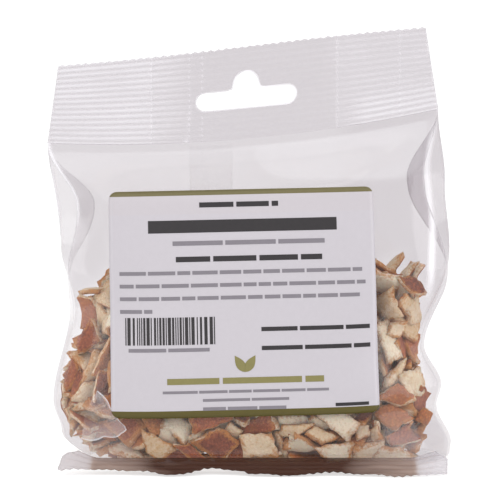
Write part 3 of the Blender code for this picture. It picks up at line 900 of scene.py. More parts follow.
    def build(self, finish: bpy.types.Material) -> list[bpy.types.Object]:
        """Pour the peel and join it into one piece for each cut.

        Args:
            finish: The peel's material.

        Returns:
            The joined pieces.
        """
        rng = random.Random(SEED)
        stock = {cut: [PeelShape.draw(cut, rng) for _ in range(self.shapes_per_cut)] for cut in PeelCut}
        order = [rng.choice(stock[cut]) for cut, count in self.counts.items() for _ in range(count)]
        rng.shuffle(order)
        placed = self.pour(order, rng)
        highest = self.form.fill_height * 1.3
        joined = []
        for cut in PeelCut:
            heap = bmesh.new()
            meshes = {}
            tone = heap.verts.layers.float.new("tone")
            for shape, matrix in zip(order, placed):
                spot = matrix.translation
                if shape.cut is not cut or not 0.0 < spot.z < highest:
                    continue
                outer = spot.y < self.form.panel_y(spot.x, spot.z) + self.near_film
                outer = outer or abs(spot.x) > self.form.half_width - self.near_film
                cells = self.cells if outer or spot.z > self.form.fill_height * 0.8 else self.inner_cells
                if (id(shape), cells) not in meshes:
                    fine = shape.build(cells)
                    meshes[id(shape), cells] = bpy.data.meshes.new("cut")
                    fine.to_mesh(meshes[id(shape), cells])
                    fine.free()
                start = len(heap.verts)
                heap.from_mesh(meshes[id(shape), cells])
                tone = heap.verts.layers.float["tone"]
                heap.verts.ensure_lookup_table()
                fresh = heap.verts[start:]
                bmesh.ops.transform(heap, matrix=matrix, verts=fresh)
                bmesh.ops.translate(heap, vec=self.kept_inside([vert.co for vert in fresh]), verts=fresh)
                own = rng.random()
                for vert in fresh:
                    vert[tone] = own
            for mesh in meshes.values():
                bpy.data.meshes.remove(mesh)
            piece = mesh_piece(f"peel_{cut.value}s", heap, finish)
            settle_in(piece, "bag")
            joined.append(piece)
        top = max(matrix.translation.z for matrix in placed)
        LOG.info("peel settled up to %.1f mm", top / MM)
        return joined


class Ink(Enum):
    """The print's inks, by their material slot."""

    DARK = 0
    GREY = 1
    OLIVE = 2


@dataclass(frozen=True)
class PrintedLine:
    """A line of plain bars as long as words, in millimetres from the label's top left corner."""

    left: float
    right: float
    middle: float
    size: float
    ink: Ink = Ink.GREY
    shortest: float = 4.0
    longest: float = 9.0


@dataclass
class LabelSheet:
    """The label and the plain fields printed on it."""

    form: BagForm
    width: float = 87.4 * MM
    height: float = 74.8 * MM
    corner: float = 2.8 * MM
    middle_x: float = -2.3 * MM
    low: float = 17.6 * MM
    turn: float = math.radians(1.35)
    lift: float = 0.45 * MM
    thickness: float = 0.12 * MM
    ink_lift: float = 0.05 * MM
    top_band: float = 1.7 * MM
    bottom_band: float = 2.3 * MM
    strip: tuple[float, float] = (1.7 * MM, 7.9 * MM)
    lines_above_block: tuple[PrintedLine, ...] = (
        PrintedLine(30.0, 56.0, 4.9, 1.7, Ink.DARK, 9.0, 13.0),
        PrintedLine(13.0, 77.5, 12.0, 4.2, Ink.DARK, 60.0, 70.0),
        PrintedLine(21.0, 72.0, 17.6, 1.5, Ink.GREY, 10.0, 18.0),
        PrintedLine(22.0, 70.0, 22.9, 1.8, Ink.DARK, 10.0, 18.0),
        PrintedLine(3.3, 83.0, 27.4, 1.25),
        PrintedLine(3.3, 84.0, 31.6, 1.25),
        PrintedLine(3.3, 82.0, 35.8, 1.25),
        PrintedLine(3.3, 14.0, 40.0, 1.25),
    )
    lines_below_block: tuple[PrintedLine, ...] = (
        PrintedLine(6.0, 34.0, 52.7, 1.2, Ink.GREY, 9.0, 14.0),
        PrintedLine(49.5, 85.0, 46.4, 1.4, Ink.DARK, 11.0, 17.0),
        PrintedLine(49.5, 85.0, 52.6, 1.4, Ink.DARK, 11.0, 17.0),
        PrintedLine(18.5, 69.5, 63.0, 2.0, Ink.OLIVE, 16.0, 26.0),
        PrintedLine(17.0, 71.0, 66.5, 0.9, Ink.GREY, 7.0, 12.0),
        PrintedLine(30.0, 58.0, 69.2, 0.9, Ink.GREY, 12.0, 16.0),
        PrintedLine(30.0, 57.0, 72.0, 1.1, Ink.GREY, 7.0, 10.0),
        PrintedLine(73.0, 84.0, 71.6, 1.1, Ink.DARK, 10.0, 11.0),
    )
    block_across: tuple[float, float] = (5.0 * MM, 34.5 * MM)
    block_down: tuple[float, float] = (42.0 * MM, 51.0 * MM)
    leaf_foot: tuple[float, float] = (44.0 * MM, 60.3 * MM)
    leaf_size: tuple[float, float] = (6.4 * MM, 3.0 * MM)
    leaf_leans: tuple[float, float] = (-32.0, 32.0)

    @property
    def centre_height(self) -> float:
        """Height of the label's middle."""
        return self.low + 0.5 * self.height * math.cos(math.atan(self.form.front_lean))

    def on_panel(self, across: float, upward: float, out: float) -> Vector:
        """Find a point on the label.

        Args:
            across: Distance right of the label's middle.
            upward: Distance above its middle.
            out: Distance in front of the film.

        Returns:
            The point in the frame.
        """
        upward *= math.cos(math.atan(self.form.front_lean))
        x = self.middle_x + across * math.cos(self.turn) - upward * math.sin(self.turn)
        z = self.centre_height + across * math.sin(self.turn) + upward * math.cos(self.turn)
        ripple = 0.18 * MM * noise.noise(Vector((x, 0.0, z)) / (22.0 * MM))
        return Vector((x, self.form.panel_y(x, z) - out + ripple, z))

    def holds(self, spot: Vector) -> float:
        """Tell how smooth the label keeps the film at a point.

        Args:
            spot: A point of the film.

        Returns:
            1 under the label, easing to 0 beside it.
        """
        if spot.y > self.form.header_place:
            return 0.0
        dx, dz = spot.x - self.middle_x, spot.z - self.centre_height
        across = dx * math.cos(self.turn) + dz * math.sin(self.turn)
        upward = dz * math.cos(self.turn) - dx * math.sin(self.turn)
        upward /= math.cos(math.atan(self.form.front_lean))
        outside = max(abs(across) - self.width / 2, abs(upward) - self.height / 2)
        return 1.0 - ease(outside / (5.0 * MM))

    def sheet(self) -> bmesh.types.BMesh:
        """Cut the label sheet, with its bands as separate rows of faces."""
        shape = bmesh.new()
        bmesh.ops.create_grid(shape, x_segments=1, y_segments=1, size=0.5)
        bmesh.ops.scale(shape, vec=(self.width, self.height, 1.0), verts=shape.verts)
        bmesh.ops.bevel(shape, geom=shape.verts[:], offset=self.corner, offset_type="OFFSET", segments=6,
                        profile=0.5, affect="VERTICES", material=-1)
        top = self.height / 2
        rows = [top - self.top_band, top - self.strip[1], self.bottom_band - top]
        rows += [mix(-top, top, i / 48) for i in range(1, 48)]
        columns = [mix(-self.width / 2, self.width / 2, i / 56) for i in range(1, 56)]
        divide(shape, columns, rows)
        for face in shape.faces:
            y = face.calc_center_median().y
            face.material_index = 0
            if y > top - self.top_band:
                face.material_index = 1
            elif y > top - self.strip[1]:
                face.material_index = 2
            elif y < self.bottom_band - top:
                face.material_index = 3
        for vert in shape.verts:
            vert.co = self.on_panel(vert.co.x, vert.co.y, self.lift)
        return shape

    def bar(self, shape: bmesh.types.BMesh, left: float, right: float, low: float, high: float,
            ink: Ink) -> None:
        """Add one printed bar, its edges given from the label's top left corner.

        Args:
            shape: The print that it is added to.
            left: Its left edge.
            right: Its right edge.
            low: Its lower edge, downwards.
            high: Its upper edge, downwards.
            ink: Its ink.
        """
        steps = max(1, round((right - left) / (1.5 * MM)))
        made = bmesh.ops.create_grid(shape, x_segments=steps, y_segments=1, size=0.5)["verts"]
        for vert in made:
            across = mix(left, right, vert.co.x + 0.5) - self.width / 2
            upward = self.height / 2 - mix(low, high, vert.co.y + 0.5)
            vert.co = self.on_panel(across, upward, self.lift + self.thickness / 2 + self.ink_lift)
        for face in {face for vert in made for face in vert.link_faces}:
            face.material_index = ink.value

    def words(self, shape: bmesh.types.BMesh, line: PrintedLine, rng: random.Random) -> None:
        """Fill a line with plain bars as long as words.

        Args:
            shape: The print that they are added to.
            line: The line.
            rng: Seeded source of their lengths.
        """
        x, right = line.left * MM, line.right * MM
        middle, size = line.middle * MM, line.size * MM
        while x < right - 1.0 * MM:
            end = min(x + rng.uniform(line.shortest, line.longest) * MM, right)
            self.bar(shape, x, end, middle + size / 2, middle - size / 2, line.ink)
            x = end + 0.55 * size

    def printing(self) -> bmesh.types.BMesh:
        """Lay out the plain bars, the striped block and the two leaves."""
        rng = random.Random(SEED + 3)
        shape = bmesh.new()
        for line in self.lines_above_block:
            self.words(shape, line, rng)
        x = self.block_across[0]
        while x < self.block_across[1]:
            stripe = rng.choice((0.35, 0.35, 0.7, 1.05)) * MM
            self.bar(shape, x, x + stripe, self.block_down[1], self.block_down[0], Ink.DARK)
            x += stripe + rng.choice((0.35, 0.35, 0.7)) * MM
        for line in self.lines_below_block:
            self.words(shape, line, rng)
        for lean in self.leaf_leans:
            self.leaf(shape, math.radians(lean), Ink.OLIVE)
        return shape

    def leaf(self, shape: bmesh.types.BMesh, lean: float, ink: Ink) -> None:
        """Add one plain pointed leaf that grows up from its foot.

        Args:
            shape: The print that it is added to.
            lean: How far it leans from upright.
            ink: Its ink.
        """
        foot, (length, breadth) = self.leaf_foot, self.leaf_size
        made = bmesh.ops.create_grid(shape, x_segments=2, y_segments=10, size=0.5)["verts"]
        for vert in made:
            up = vert.co.y + 0.5
            side = vert.co.x * breadth * 2.0 * math.sin(math.pi * up ** 0.8) * 0.5
            run = up * length
            across = foot[0] + side * math.cos(lean) + run * math.sin(lean) - self.width / 2
            upward = self.height / 2 - foot[1] + run * math.cos(lean) - side * math.sin(lean)
            vert.co = self.on_panel(across, upward, self.lift + self.thickness / 2 + self.ink_lift)
        for face in {face for vert in made for face in vert.link_faces}:
            face.material_index = ink.value

    def build(self) -> None:
        """Make the label and its print."""
        paper = PrintFinish("label_paper", "C1BCC2", "BCB7BD").build()
        olive = PrintFinish("olive_ink", "6F6742", "675F3A", 0.45).build()
        strip = PrintFinish("grey_ink", "C1BBC0", "BDB7BC").build()
        deep = PrintFinish("deep_olive_ink", "564C0C", "4E440A", 0.45).build()
        sheet = mesh_piece("label_sheet", self.sheet(), paper, olive, strip, deep)
        wall = sheet.modifiers.new("paper", "SOLIDIFY")
        wall.thickness = self.thickness
        wall.offset = 0.0
        settle_in(sheet, "label")
        black = PrintFinish("black_ink", "201C1F", "2A2528", 0.5).build()
        grey = PrintFinish("grey_text_ink", "78737A", "807B82", 0.5).build()
        marks = PrintFinish("olive_mark_ink", "857E4C", "7A7344", 0.5).build()
        ink = mesh_piece("label_print", self.printing(), black, grey, marks)
        settle_in(ink, "label")


@dataclass
class FilmBag:
    """The film: body drawn onto the peel, crimped header, back seam and bottom seal."""

    form: BagForm
    label: LabelSheet
    columns: tuple[int, int] = (130, 36)
    ring_step: float = 0.8 * MM
    reach: float = 4.0 * MM
    deepest: float = 2.2 * MM
    bridging: float = 6.0 * MM
    clearance: float = 0.25 * MM
    passes: int = 40
    fill_fade: float = 12.0 * MM
    foot_height: float = 3.0 * MM
    gusset_width: float = 45.0 * MM
    side_pull: tuple[float, float, float, float] = (1.0, 0.0, 1.0, 0.0)
    header_height: float = 30.5 * MM
    header_wave: float = 0.4 * MM
    header_lean: float = math.tan(math.radians(3.0))
    header_ends: tuple[float, float] = (-63.6 * MM, 58.8 * MM)
    header_top_slope: float = math.tan(math.radians(5.9))
    header_gap: float = 0.5 * MM
    rib_count: int = 15
    rib_cuts: int = 6
    rib_height: float = 0.30 * MM
    tooth_pitch: float = 2.6 * MM
    tooth_height: float = 0.6 * MM
    gusset_edges: tuple[float, float] = (-32.6 * MM, 29.3 * MM)
    # Two lines of painted glints, dotted along the crimp of the back seam, up the header.
    seam_glint_marks: tuple[float, float] = (-19.9 * MM, -15.6 * MM)
    header_fold: float = 50.2 * MM
    mark_width: float = 0.5 * MM
    seam: tuple[float, float] = (-20.5 * MM, -6.0 * MM)
    slot_middle: float = -1.0 * MM
    slot_base: float = 10.3 * MM
    slot_width: float = 33.2 * MM
    slot_wing: float = 6.0 * MM
    slot_hump: float = 8.0 * MM
    slot_height: float = 12.0 * MM
    seal_ends: tuple[float, float] = (-61.5 * MM, 63.0 * MM)
    seal_back: tuple[float, float] = (-22.9 * MM, 4.1 * MM)
    seal_front: tuple[float, float] = (-31.5 * MM, 0.6 * MM)
    seal_ear: float = 4.4 * MM
    seal_ribs: int = 4
    seal_rib_height: float = 0.30 * MM
    seal_wave: float = 0.9 * MM
    seal_wave_length: float = 36.0 * MM
    seal_gap: float = 0.5 * MM
    seal_trim: tuple = stations(
        (-64.0, -1.6), (-32.0, -1.6), (-26.0, -0.4), (-19.0, -0.9), (-14.0, -2.6), (-5.0, -1.5), (1.5, 0.0),
        (36.0, 0.0), (50.0, 0.7), (64.0, 1.4),
    )
    # Across the seal, how much painted shade it shows: the dark brown of the shaded peel and of the shade
    # under the bag.
    seal_painted_shade: tuple = stations(
        (-62.0, 0.15), (-52.5, 0.2), (-49.5, 0.5), (-38.0, 0.66), (-28.0, 0.85), (-20.0, 1.0), (24.0, 1.0),
        (36.0, 0.72), (52.0, 0.5), (55.0, 0.1), (63.0, 0.0), unit=(MM, 1.0),
    )
    # A painted highlight: the reflection of a lamp on the right as a pale band down the right edge, x for
    # each height.
    painted_highlight: tuple = stations((50.0, 58.5), (62.0, 60.1), (81.0, 60.8), (98.0, 59.6), (118.0, 62.0))
    painted_highlight_width: float = 2.1 * MM
    fold_middle: tuple[float, float] = (-54.0 * MM, 18.0 * MM)
    fold_reach: tuple = stations(
        (-100.0, 9.8), (-54.0, 10.0), (-30.0, 13.6), (-20.0, 14.8), (-8.0, 11.2), (15.0, 8.7), (60.0, 8.0),
        unit=(1.0, MM),
    )

    def dress(self, shape: bmesh.types.BMesh, haze_and_highlight: list[float], smoke_and_shade: list[float] | float,
              painted_shade: list[float] | float = 0.0) -> None:
        """Write the film's attributes on its vertices.

        Args:
            shape: The film.
            haze_and_highlight: How milky it is at each vertex, painted highlights included.
            smoke_and_shade: How much it darkens what lies behind it, at each vertex or everywhere, painted
                shade included.
            painted_shade: How much painted shade, the dark brown of the shaded peel behind the seal, it
                shows, the same way.
        """
        for name, amounts in (("haze_and_highlight", haze_and_highlight), ("smoke_and_shade", smoke_and_shade), ("painted_shade", painted_shade)):
            layer = shape.verts.layers.float.new(name)
            for i, vert in enumerate(shape.verts):
                vert[layer] = amounts[i] if isinstance(amounts, list) else amounts

    def gaps(self, verts: list[bmesh.types.BMVert], peel: list[bpy.types.Object]) -> np.ndarray:
        """Measure how far behind the film the peel lies, up to the width that the film bridges.

        Args:
            verts: The film's vertices.
            peel: The poured peel.

        Returns:
            The gap at each vertex, below zero where the peel stands out of the film.
        """
        everything = bmesh.new()
        for piece in peel:
            everything.from_mesh(piece.data)
        tree = BVHTree.FromBMesh(everything)
        everything.free()
        free = np.empty(len(verts))
        for i, vert in enumerate(verts):
            start = vert.co + vert.normal * self.reach
            _, _, _, distance = tree.ray_cast(start, -vert.normal, self.reach + self.bridging)
            free[i] = self.bridging if distance is None else distance - self.reach - self.clearance
        return free

    def draped_body(self, peel: list[bpy.types.Object]) -> bmesh.types.BMesh:
        """Draw the film tube onto the peel that it touches.

        Args:
            peel: The poured peel.

        Returns:
            The film's body.
        """
        heights = self.form.ring_heights(8, self.ring_step, self.form.shoulder_height)
        shape = self.form.tube(self.columns, heights)
        verts = shape.verts[:]
        free = self.gaps(verts, peel)
        level = shape.verts.layers.float["height"]
        place = shape.verts.layers.float["place"]
        index = {vert: i for i, vert in enumerate(verts)}
        edges = np.array([(index[e.verts[0]], index[e.verts[1]]) for e in shape.edges])
        held = np.array([self.label.holds(vert.co) for vert in verts])
        above = [(vert[level] - self.form.fill_height) / self.fill_fade for vert in verts]
        filled = np.array([1.0 - ease(share) for share in above])
        footed = np.array([ease(vert.co.z / self.foot_height) for vert in verts])
        sides = np.array([self.side_pull[int(vert[place]) % 4] for vert in verts])
        pull = filled * footed * (1.0 - held) * sides
        bridged = np.clip((self.bridging - free) / (self.bridging - self.deepest), 0.0, 1.0)
        limit = np.where(pull > 0.0, np.maximum(free, 0.0), 0.0)
        drawn = np.minimum(np.minimum(free, self.deepest) * bridged * pull, limit)
        drawn = evened(drawn, edges, self.passes, limit)
        for i, vert in enumerate(verts):
            creased = uneven(vert.co.x / (7.0 * MM), vert.co.y / (7.0 * MM), vert.co.z / (30.0 * MM))
            slack = 0.5 * MM * noise.noise(vert.co / (26.0 * MM)) + 0.12 * MM * creased
            slack *= 1.0 - filled[i]
            under = (self.form.shoulder_height - vert[level]) / self.form.shoulder_run
            slack *= ease(under) * (1.0 - held[i])
            push = min(free[i], 0.0) * footed[i]
            vert.co -= vert.normal * (drawn[i] + push - slack)

        touched = np.clip((self.bridging - free) / self.bridging, 0.0, 1.0) * filled
        touched = evened(touched, edges, self.passes // 2, np.inf)
        haze_and_highlight, smoke_and_shade = [], []
        for i, vert in enumerate(verts):
            haze_and_highlight.append(self.milk_and_highlights(vert.co, vert[place], vert[level]))
            smoke_and_shade.append(self.darkness(vert.co, vert[place], vert[level], touched[i]))
        self.dress(shape, haze_and_highlight, smoke_and_shade)
        return shape

    def painted_sheen_patch(self, spot: Vector, place: float, level: float) -> float:
        """How far a point lies in the pale patches above the peel, painted sheen of the lamps on the slack
        film, from 0 to 1.
        """
        x, z = spot.x, spot.z
        flat = (abs(x - 30.0 * MM) / (30.0 * MM)) ** 5 + (abs(z - 117.0 * MM) / (24.0 * MM)) ** 5
        right = self.slack_share(level) * (1.0 - ease((flat ** 0.2 - 0.93) / 0.1))
        left = 0.6 * ease((z - 84.0 * MM) / (14.0 * MM)) * ease((18.0 * MM - x) / (25.0 * MM))
        return max(right, left) if int(place) % 2 == 0 and spot.y < self.form.header_place else 0.0

    def slack_share(self, level: float) -> float:
        """0 where the peel holds the film out, easing to 1 above it."""
        return ease((level - 0.6 * self.form.fill_height) / (10.0 * MM))

    def low_share(self, z: float) -> float:
        """1 at the bag's foot, easing to 0 above it."""
        return 1.0 - ease((z - 7.0 * MM) / (9.0 * MM))

    def milk_and_highlights(self, spot: Vector, place: float, level: float) -> float:
        """How milky the body's film is at its folds and where it lies in layers, with a long painted
        highlight down its right edge and painted sheen in pale patches above the peel.

        Args:
            spot: The point.
            place: Its place round the section.
            level: Its height before the bag leaned.

        Returns:
            The haze, from 0 to 1.
        """
        x, z = spot.x, spot.z
        left = x < 0.0
        near = min(place % 1.0, 1.0 - place % 1.0)
        width = self.form.half_width * 2.0 if int(place) % 2 == 0 else self.gusset_width
        # Crease lines: partly film whitened at its folds, partly painted highlight; the broad line high on
        # the left is the highlight along the front crease.
        line = 1.0 - ease(near * width / ((1.7 if left and z > 70.0 * MM else 0.9) * MM))
        line *= mix(0.25, 1.0, ease((z - 76.0 * MM) / (8.0 * MM))) if left else 0.35
        outer = int(place) == 0 or x > self.form.crease(level, 1, True)[0]
        # Painted highlight: the reflection of a lamp on the right, a long pale band down the film's rounded
        # right edge.
        painted_highlight = 1.0 - ease(abs(x - along(self.painted_highlight, z)) / self.painted_highlight_width)
        painted_highlight *= ease((z - 50.0 * MM) / (14.0 * MM)) * (1.0 - ease((z - 104.0 * MM) / (12.0 * MM)))
        painted_highlight = painted_highlight if outer and place < 1.9 else 0.0
        # Milky low at the corners: partly film lying in layers, partly painted reflection near the foot.
        layered = 0.09 * self.low_share(z) * ease((abs(x) - 32.0 * MM) / (12.0 * MM))
        sharp = 0.8 * line * (0.12 + 0.88 * self.slack_share(level))
        # Painted sheen of the lamps in the pale patches above the peel.
        painted_sheen = self.painted_sheen_patch(spot, place, level)
        return min(0.012 + max(sharp, 0.7 * painted_highlight) + 0.16 * painted_sheen + layered, 0.95)

    def darkness(self, spot: Vector, place: float, level: float, touched: float) -> float:
        """How much the body's film darkens what lies behind it: least where it touches the peel.

        Args:
            spot: The point.
            place: Its place round the section.
            level: Its height before the bag leaned.
            touched: How far the peel touches it, from 0 to 1.

        Returns:
            The smoke, from 0 upwards.
        """
        x, z = spot.x, spot.z
        # Painted shade: the right gusset is darkened more than the left, and the panels more on their right,
        # to hold back the light of the lamp on the right.
        if int(place) % 2:
            return mix(0.8, 0.4 if x < 0.0 else 1.2, ease((z - 40.0 * MM) / (10.0 * MM)))
        low = self.low_share(z)
        # Darker near the foot, and most low on the right.
        over_peel = mix(0.55, 0.2, ease((z - 8.0 * MM) / (20.0 * MM)))
        over_peel += 0.45 * low * ease((x - 20.0 * MM) / (20.0 * MM))
        # Where the painted sheen lies, the film darkens less.
        painted_sheen = self.painted_sheen_patch(spot, place, level)
        free_panel = 0.88 + 0.14 * ease((x - 25.0 * MM) / (15.0 * MM)) * (1.0 - painted_sheen)
        free_panel += 0.3 * low * ease((x - 20.0 * MM) / (20.0 * MM))
        return mix(free_panel, over_peel, touched)

    def plate(self, outlines: list[list[tuple[float, float]]], columns: list[float],
              rows: list[float]) -> bmesh.types.BMesh:
        """Make a flat sheet in XY from closed outlines and divide it along straight lines.

        Args:
            outlines: The outer outline, then its holes.
            columns: X of the cuts that run along Y.
            rows: Y of the cuts that run along X.

        Returns:
            The divided sheet.
        """
        shape = bmesh.new()
        for outline in outlines:
            ring = [shape.verts.new((x, y, 0.0)) for x, y in outline]
            for start, end in zip(ring, ring[1:] + ring[:1]):
                shape.edges.new((start, end))
        bmesh.ops.triangle_fill(shape, use_beauty=True, use_dissolve=True, edges=shape.edges[:],
                                normal=(0, 0, 1))
        divide(shape, columns, rows)
        return shape

    def slot_outline(self) -> list[tuple[float, float]]:
        """Outline of the hanging slot: two round-ended wings and a round hump between them."""
        wing, hump, half = self.slot_wing / 2, self.slot_hump / 2, self.slot_width / 2
        outline = []
        for i in range(11):
            turn = -math.pi / 2 + math.pi * i / 10
            outline.append((half - wing + wing * math.cos(turn), wing + wing * math.sin(turn)))
        outline.append((hump * 1.55, 2 * wing))
        outline.append((hump * 1.12, 2 * wing + 0.14 * hump))
        for i in range(1, 10):
            turn = math.pi * i / 10
            outline.append((hump * math.cos(turn), self.slot_height - hump + hump * math.sin(turn)))
        outline.append((-hump * 1.12, 2 * wing + 0.14 * hump))
        outline.append((-hump * 1.55, 2 * wing))
        for i in range(11):
            turn = math.pi / 2 + math.pi * i / 10
            outline.append((wing - half + wing * math.cos(turn), wing + wing * math.sin(turn)))
        return [(self.slot_middle + x, self.slot_base + y) for x, y in outline]

    def teeth(self, start: float, end: float, seed: float) -> list[tuple[float, float]]:
        """Points of a toothed cut edge, a little uneven from tooth to tooth.

        Args:
            start: X of its first point.
            end: X of its last point.
            seed: Place in the noise that makes it uneven.

        Returns:
            X and rise of each point.
        """
        steps = round(abs(end - start) / self.tooth_pitch * 2.0)
        points = []
        for i in range(steps + 1):
            worn = uneven(i * 0.83, seed, 0.0)
            rise = self.tooth_height * ((i % 2) * 0.8 + 0.45 * worn)
            points.append((mix(start, end, i / steps), rise - 0.4 * self.tooth_height))
        return points

    def crimp(self, place: float, pitch: float) -> float:
        """Narrow ridge between flat valleys, from 0 to 1, as a crimping jaw leaves it."""
        return (0.5 + 0.5 * math.cos(2.0 * math.pi * place / pitch)) ** 2

    def header(self) -> bmesh.types.BMesh:
        """Make the crimped header with its hanging slot and toothed top edge."""
        low_left, low_right = -self.form.left_side[-1][1], self.form.right_side[-1][1]
        outline = [(low_left, 0.0), (low_right, 0.0)]
        outline += [(x, self.header_height + rise) for x, rise in self.teeth(*self.header_ends[::-1], 1.0)]
        pitch = self.header_height / self.rib_count
        rows = [pitch * i / self.rib_cuts for i in range(1, self.rib_count * self.rib_cuts)]
        columns = [mix(low_left, low_right, i / 90) for i in range(1, 90)]
        for edge in self.gusset_edges + self.seam_glint_marks + (self.header_fold,):
            columns += [edge - 0.4 * MM, edge, edge + 0.4 * MM]
        shape = self.plate([outline, self.slot_outline()], columns, rows)
        haze_and_highlight = []
        for vert in shape.verts:
            x, up = vert.co.x, vert.co.y
            step = 0.15 * MM if self.gusset_edges[0] < x < self.gusset_edges[1] else 0.0
            rise = self.rib_height * self.crimp(up, pitch) * self.pressed(x, up)
            y = self.header_y(x, up) - rise + step
            vert.co = Vector((x, y, self.header_z(x, up))) - self.form.middle
            haze_and_highlight.append(self.header_haze_and_glints(x, up, rise / self.rib_height))
        self.dress(shape, haze_and_highlight, 1.0)
        return shape

    def header_haze_and_glints(self, x: float, up: float, raised: float) -> float:
        """How milky the header is on its ribs, at the gusset's edges and at the folds under it; the ribs also
        carry painted highlights, and painted glints lie on the back seam's crimp and at the fold's foot.

        Args:
            x: Place across the header.
            up: Height above its lower line.
            raised: How far the rib stands out there, from 0 to 1.

        Returns:
            The haze, from 0 to 1.
        """
        layered = 0.0 if self.gusset_edges[0] < x < self.gusset_edges[1] else 0.05
        near = min(abs(x - edge) for edge in self.gusset_edges)
        line = 0.14 * (1.0 - ease(near / self.mark_width))
        line += 0.1 * (1.0 - ease(abs(x - self.header_fold) / self.mark_width))
        marked = min(abs(x - edge) for edge in self.seam_glint_marks)
        # Painted glints dotted along the back seam's crimp.
        dots = self.crimp(up, self.header_height / self.rib_count) * (1.0 - ease(marked / self.mark_width))
        fold = 1.0 - ease(abs(x - self.seam_glint_marks[0] - 0.08 * (up - 10.0 * MM)) / (0.6 * MM))
        fold *= 1.0 - ease((up - 11.0 * MM) / (3.0 * MM))
        # A painted glint at the fold's foot.
        glint = 0.5 * fold * (1.0 - ease(up / (2.0 * MM)))
        # The ribs' milky lines are partly crimped film whitening, partly painted highlight.
        return 0.05 + 0.42 * raised + layered + line + 0.3 * dots + 0.12 * fold + glint

    def header_z(self, x: float, up: float) -> float:
        """Height of a point of the header that lies up above its lower line."""
        low = self.form.shoulder_height + self.form.shoulder_lift(x)
        wave = self.header_wave * math.sin(math.pi * x / self.form.half_width)
        top = self.form.shoulder_height + self.header_height + self.header_top_slope * x + wave
        return low + up * (top - low) / self.header_height

    def header_y(self, x: float, up: float) -> float:
        """Y of the header's middle, which leans back and bows a little."""
        bow = 0.5 * MM * uneven(x / (30.0 * MM), up / (40.0 * MM), 3.0)
        return self.form.header_place + self.header_lean * up + bow * ease(up / (8.0 * MM))

    def pressed(self, x: float, up: float) -> float:
        """How sharply the crimped ribs stand out at a place on the header, from 0 to 1; this also sets how
        strong their painted highlights are.
        """
        left = 1.0 - ease((x + 36.0 * MM) / (20.0 * MM))
        right = ease((x - 28.0 * MM) / (14.0 * MM)) * (1.0 - ease((up - 5.0 * MM) / (9.0 * MM)))
        right = max(right, 0.35 * ease((x - 20.0 * MM) / (20.0 * MM)))
        mottled = 0.85 + 0.5 * uneven(x / (17.0 * MM), up / (7.0 * MM), 8.0)
        return (0.16 + 0.84 * max(left, right)) * min(max(mottled, 0.3), 1.0)

    def seal(self) -> bmesh.types.BMesh:
        """Make the crimped bottom seal, sloping forward from the body onto the surface."""
        length = math.dist(self.seal_back, self.seal_front)
        left, right = self.seal_ends
        outline = [(right + 0.6 * MM, length * 0.35), (right - 3.0 * MM, 0.0)]
        outline += [(left + 6.0 * MM, 0.0), (left + 1.2 * MM, length * 0.35)]
        for x, rise in self.teeth(left, right, 2.0):
            wave = self.seal_wave * math.sin(2.0 * math.pi * x / self.seal_wave_length)
            outline.append((x, length - self.seal_wave + wave + rise + along(self.seal_trim, x)))
        pitch = length / self.seal_ribs
        rows = [pitch * i / self.rib_cuts for i in range(1, self.seal_ribs * self.rib_cuts)]
        columns = [mix(left, right, i / 100) for i in range(1, 100)]
        shape = self.plate([outline], columns, rows)
        haze_and_highlight, painted_shade = [], []
        for vert in shape.verts:
            x, out = vert.co.x, vert.co.y
            share = out / length
            curl = 0.5 * MM * uneven(x / (9.0 * MM), share, 4.0) * ease(share)
            rise = self.seal_rib_height * self.crimp(out, pitch)
            ear = self.seal_ear * (1.0 - ease((x - left) / (13.0 * MM))) * (1.0 - share)
            ear += 0.6 * self.seal_ear * ease((x - right + 12.0 * MM) / (12.0 * MM)) * (1.0 - share)
            z = mix(self.seal_back[1], self.seal_front[1], share) + rise + max(curl, -0.3 * MM) + ear
            vert.co = Vector((x, mix(self.seal_back[0], self.seal_front[0], share), z))
            mottled = uneven(x / (12.0 * MM), out / (2.5 * MM), 6.0)
            # The brown is painted shade, the shaded peel and the shade under the bag seen through the seal;
            # where it lies the film is made nearly opaque.
            brown = along(self.seal_painted_shade, x)
            painted_shade.append(min(max(brown * (1.1 + 0.2 * mottled), 0.0), 1.0))
            pale = 0.2 + 0.16 * self.crimp(out, pitch) * (0.5 + mottled)
            veiled = 0.97 - 0.25 * self.crimp(out, pitch) * max(0.3 + mottled, 0.0)
            veiled *= mix(0.6, 1.0, ease(share / 0.4))
            haze_and_highlight.append(mix(pale, veiled, ease(brown * 2.0)))
        self.dress(shape, haze_and_highlight, 1.0, painted_shade)
        return shape

    def seam_strip(self) -> bmesh.types.BMesh:
        """Make the lengthwise back seam, folded flat onto the back panel."""
        shape = bmesh.new()
        bmesh.ops.create_grid(shape, x_segments=16, y_segments=110, size=0.5)
        low, high = 6.0 * MM, self.form.shoulder_height - 1.5 * MM
        haze_and_highlight = []
        for vert in shape.verts:
            share = vert.co.x + 0.5
            x, z = mix(*self.seam, share), mix(low, high, vert.co.y + 0.5)
            sway = 0.8 * MM * uneven(0.0, 2.0, z / (30.0 * MM))
            back = self.form.panel_y(x, z, front=False)
            rise = 0.2 * MM * self.crimp(z, 1.4 * MM) * ease((0.45 - share) / 0.05)
            y = back + 0.9 * MM + rise + 0.8 * MM * ease((0.3 - share) / 0.3)
            vert.co = Vector((x + sway, y, z + self.form.shoulder_lift(x) * ease(z / high)))
            edge = 1.0 - ease(min(share, 1.0 - share) / 0.06)
            haze_and_highlight.append((0.02 + 0.06 * edge) * ease((high - z) / (12.0 * MM)))
        self.dress(shape, haze_and_highlight, 0.1)
        return shape

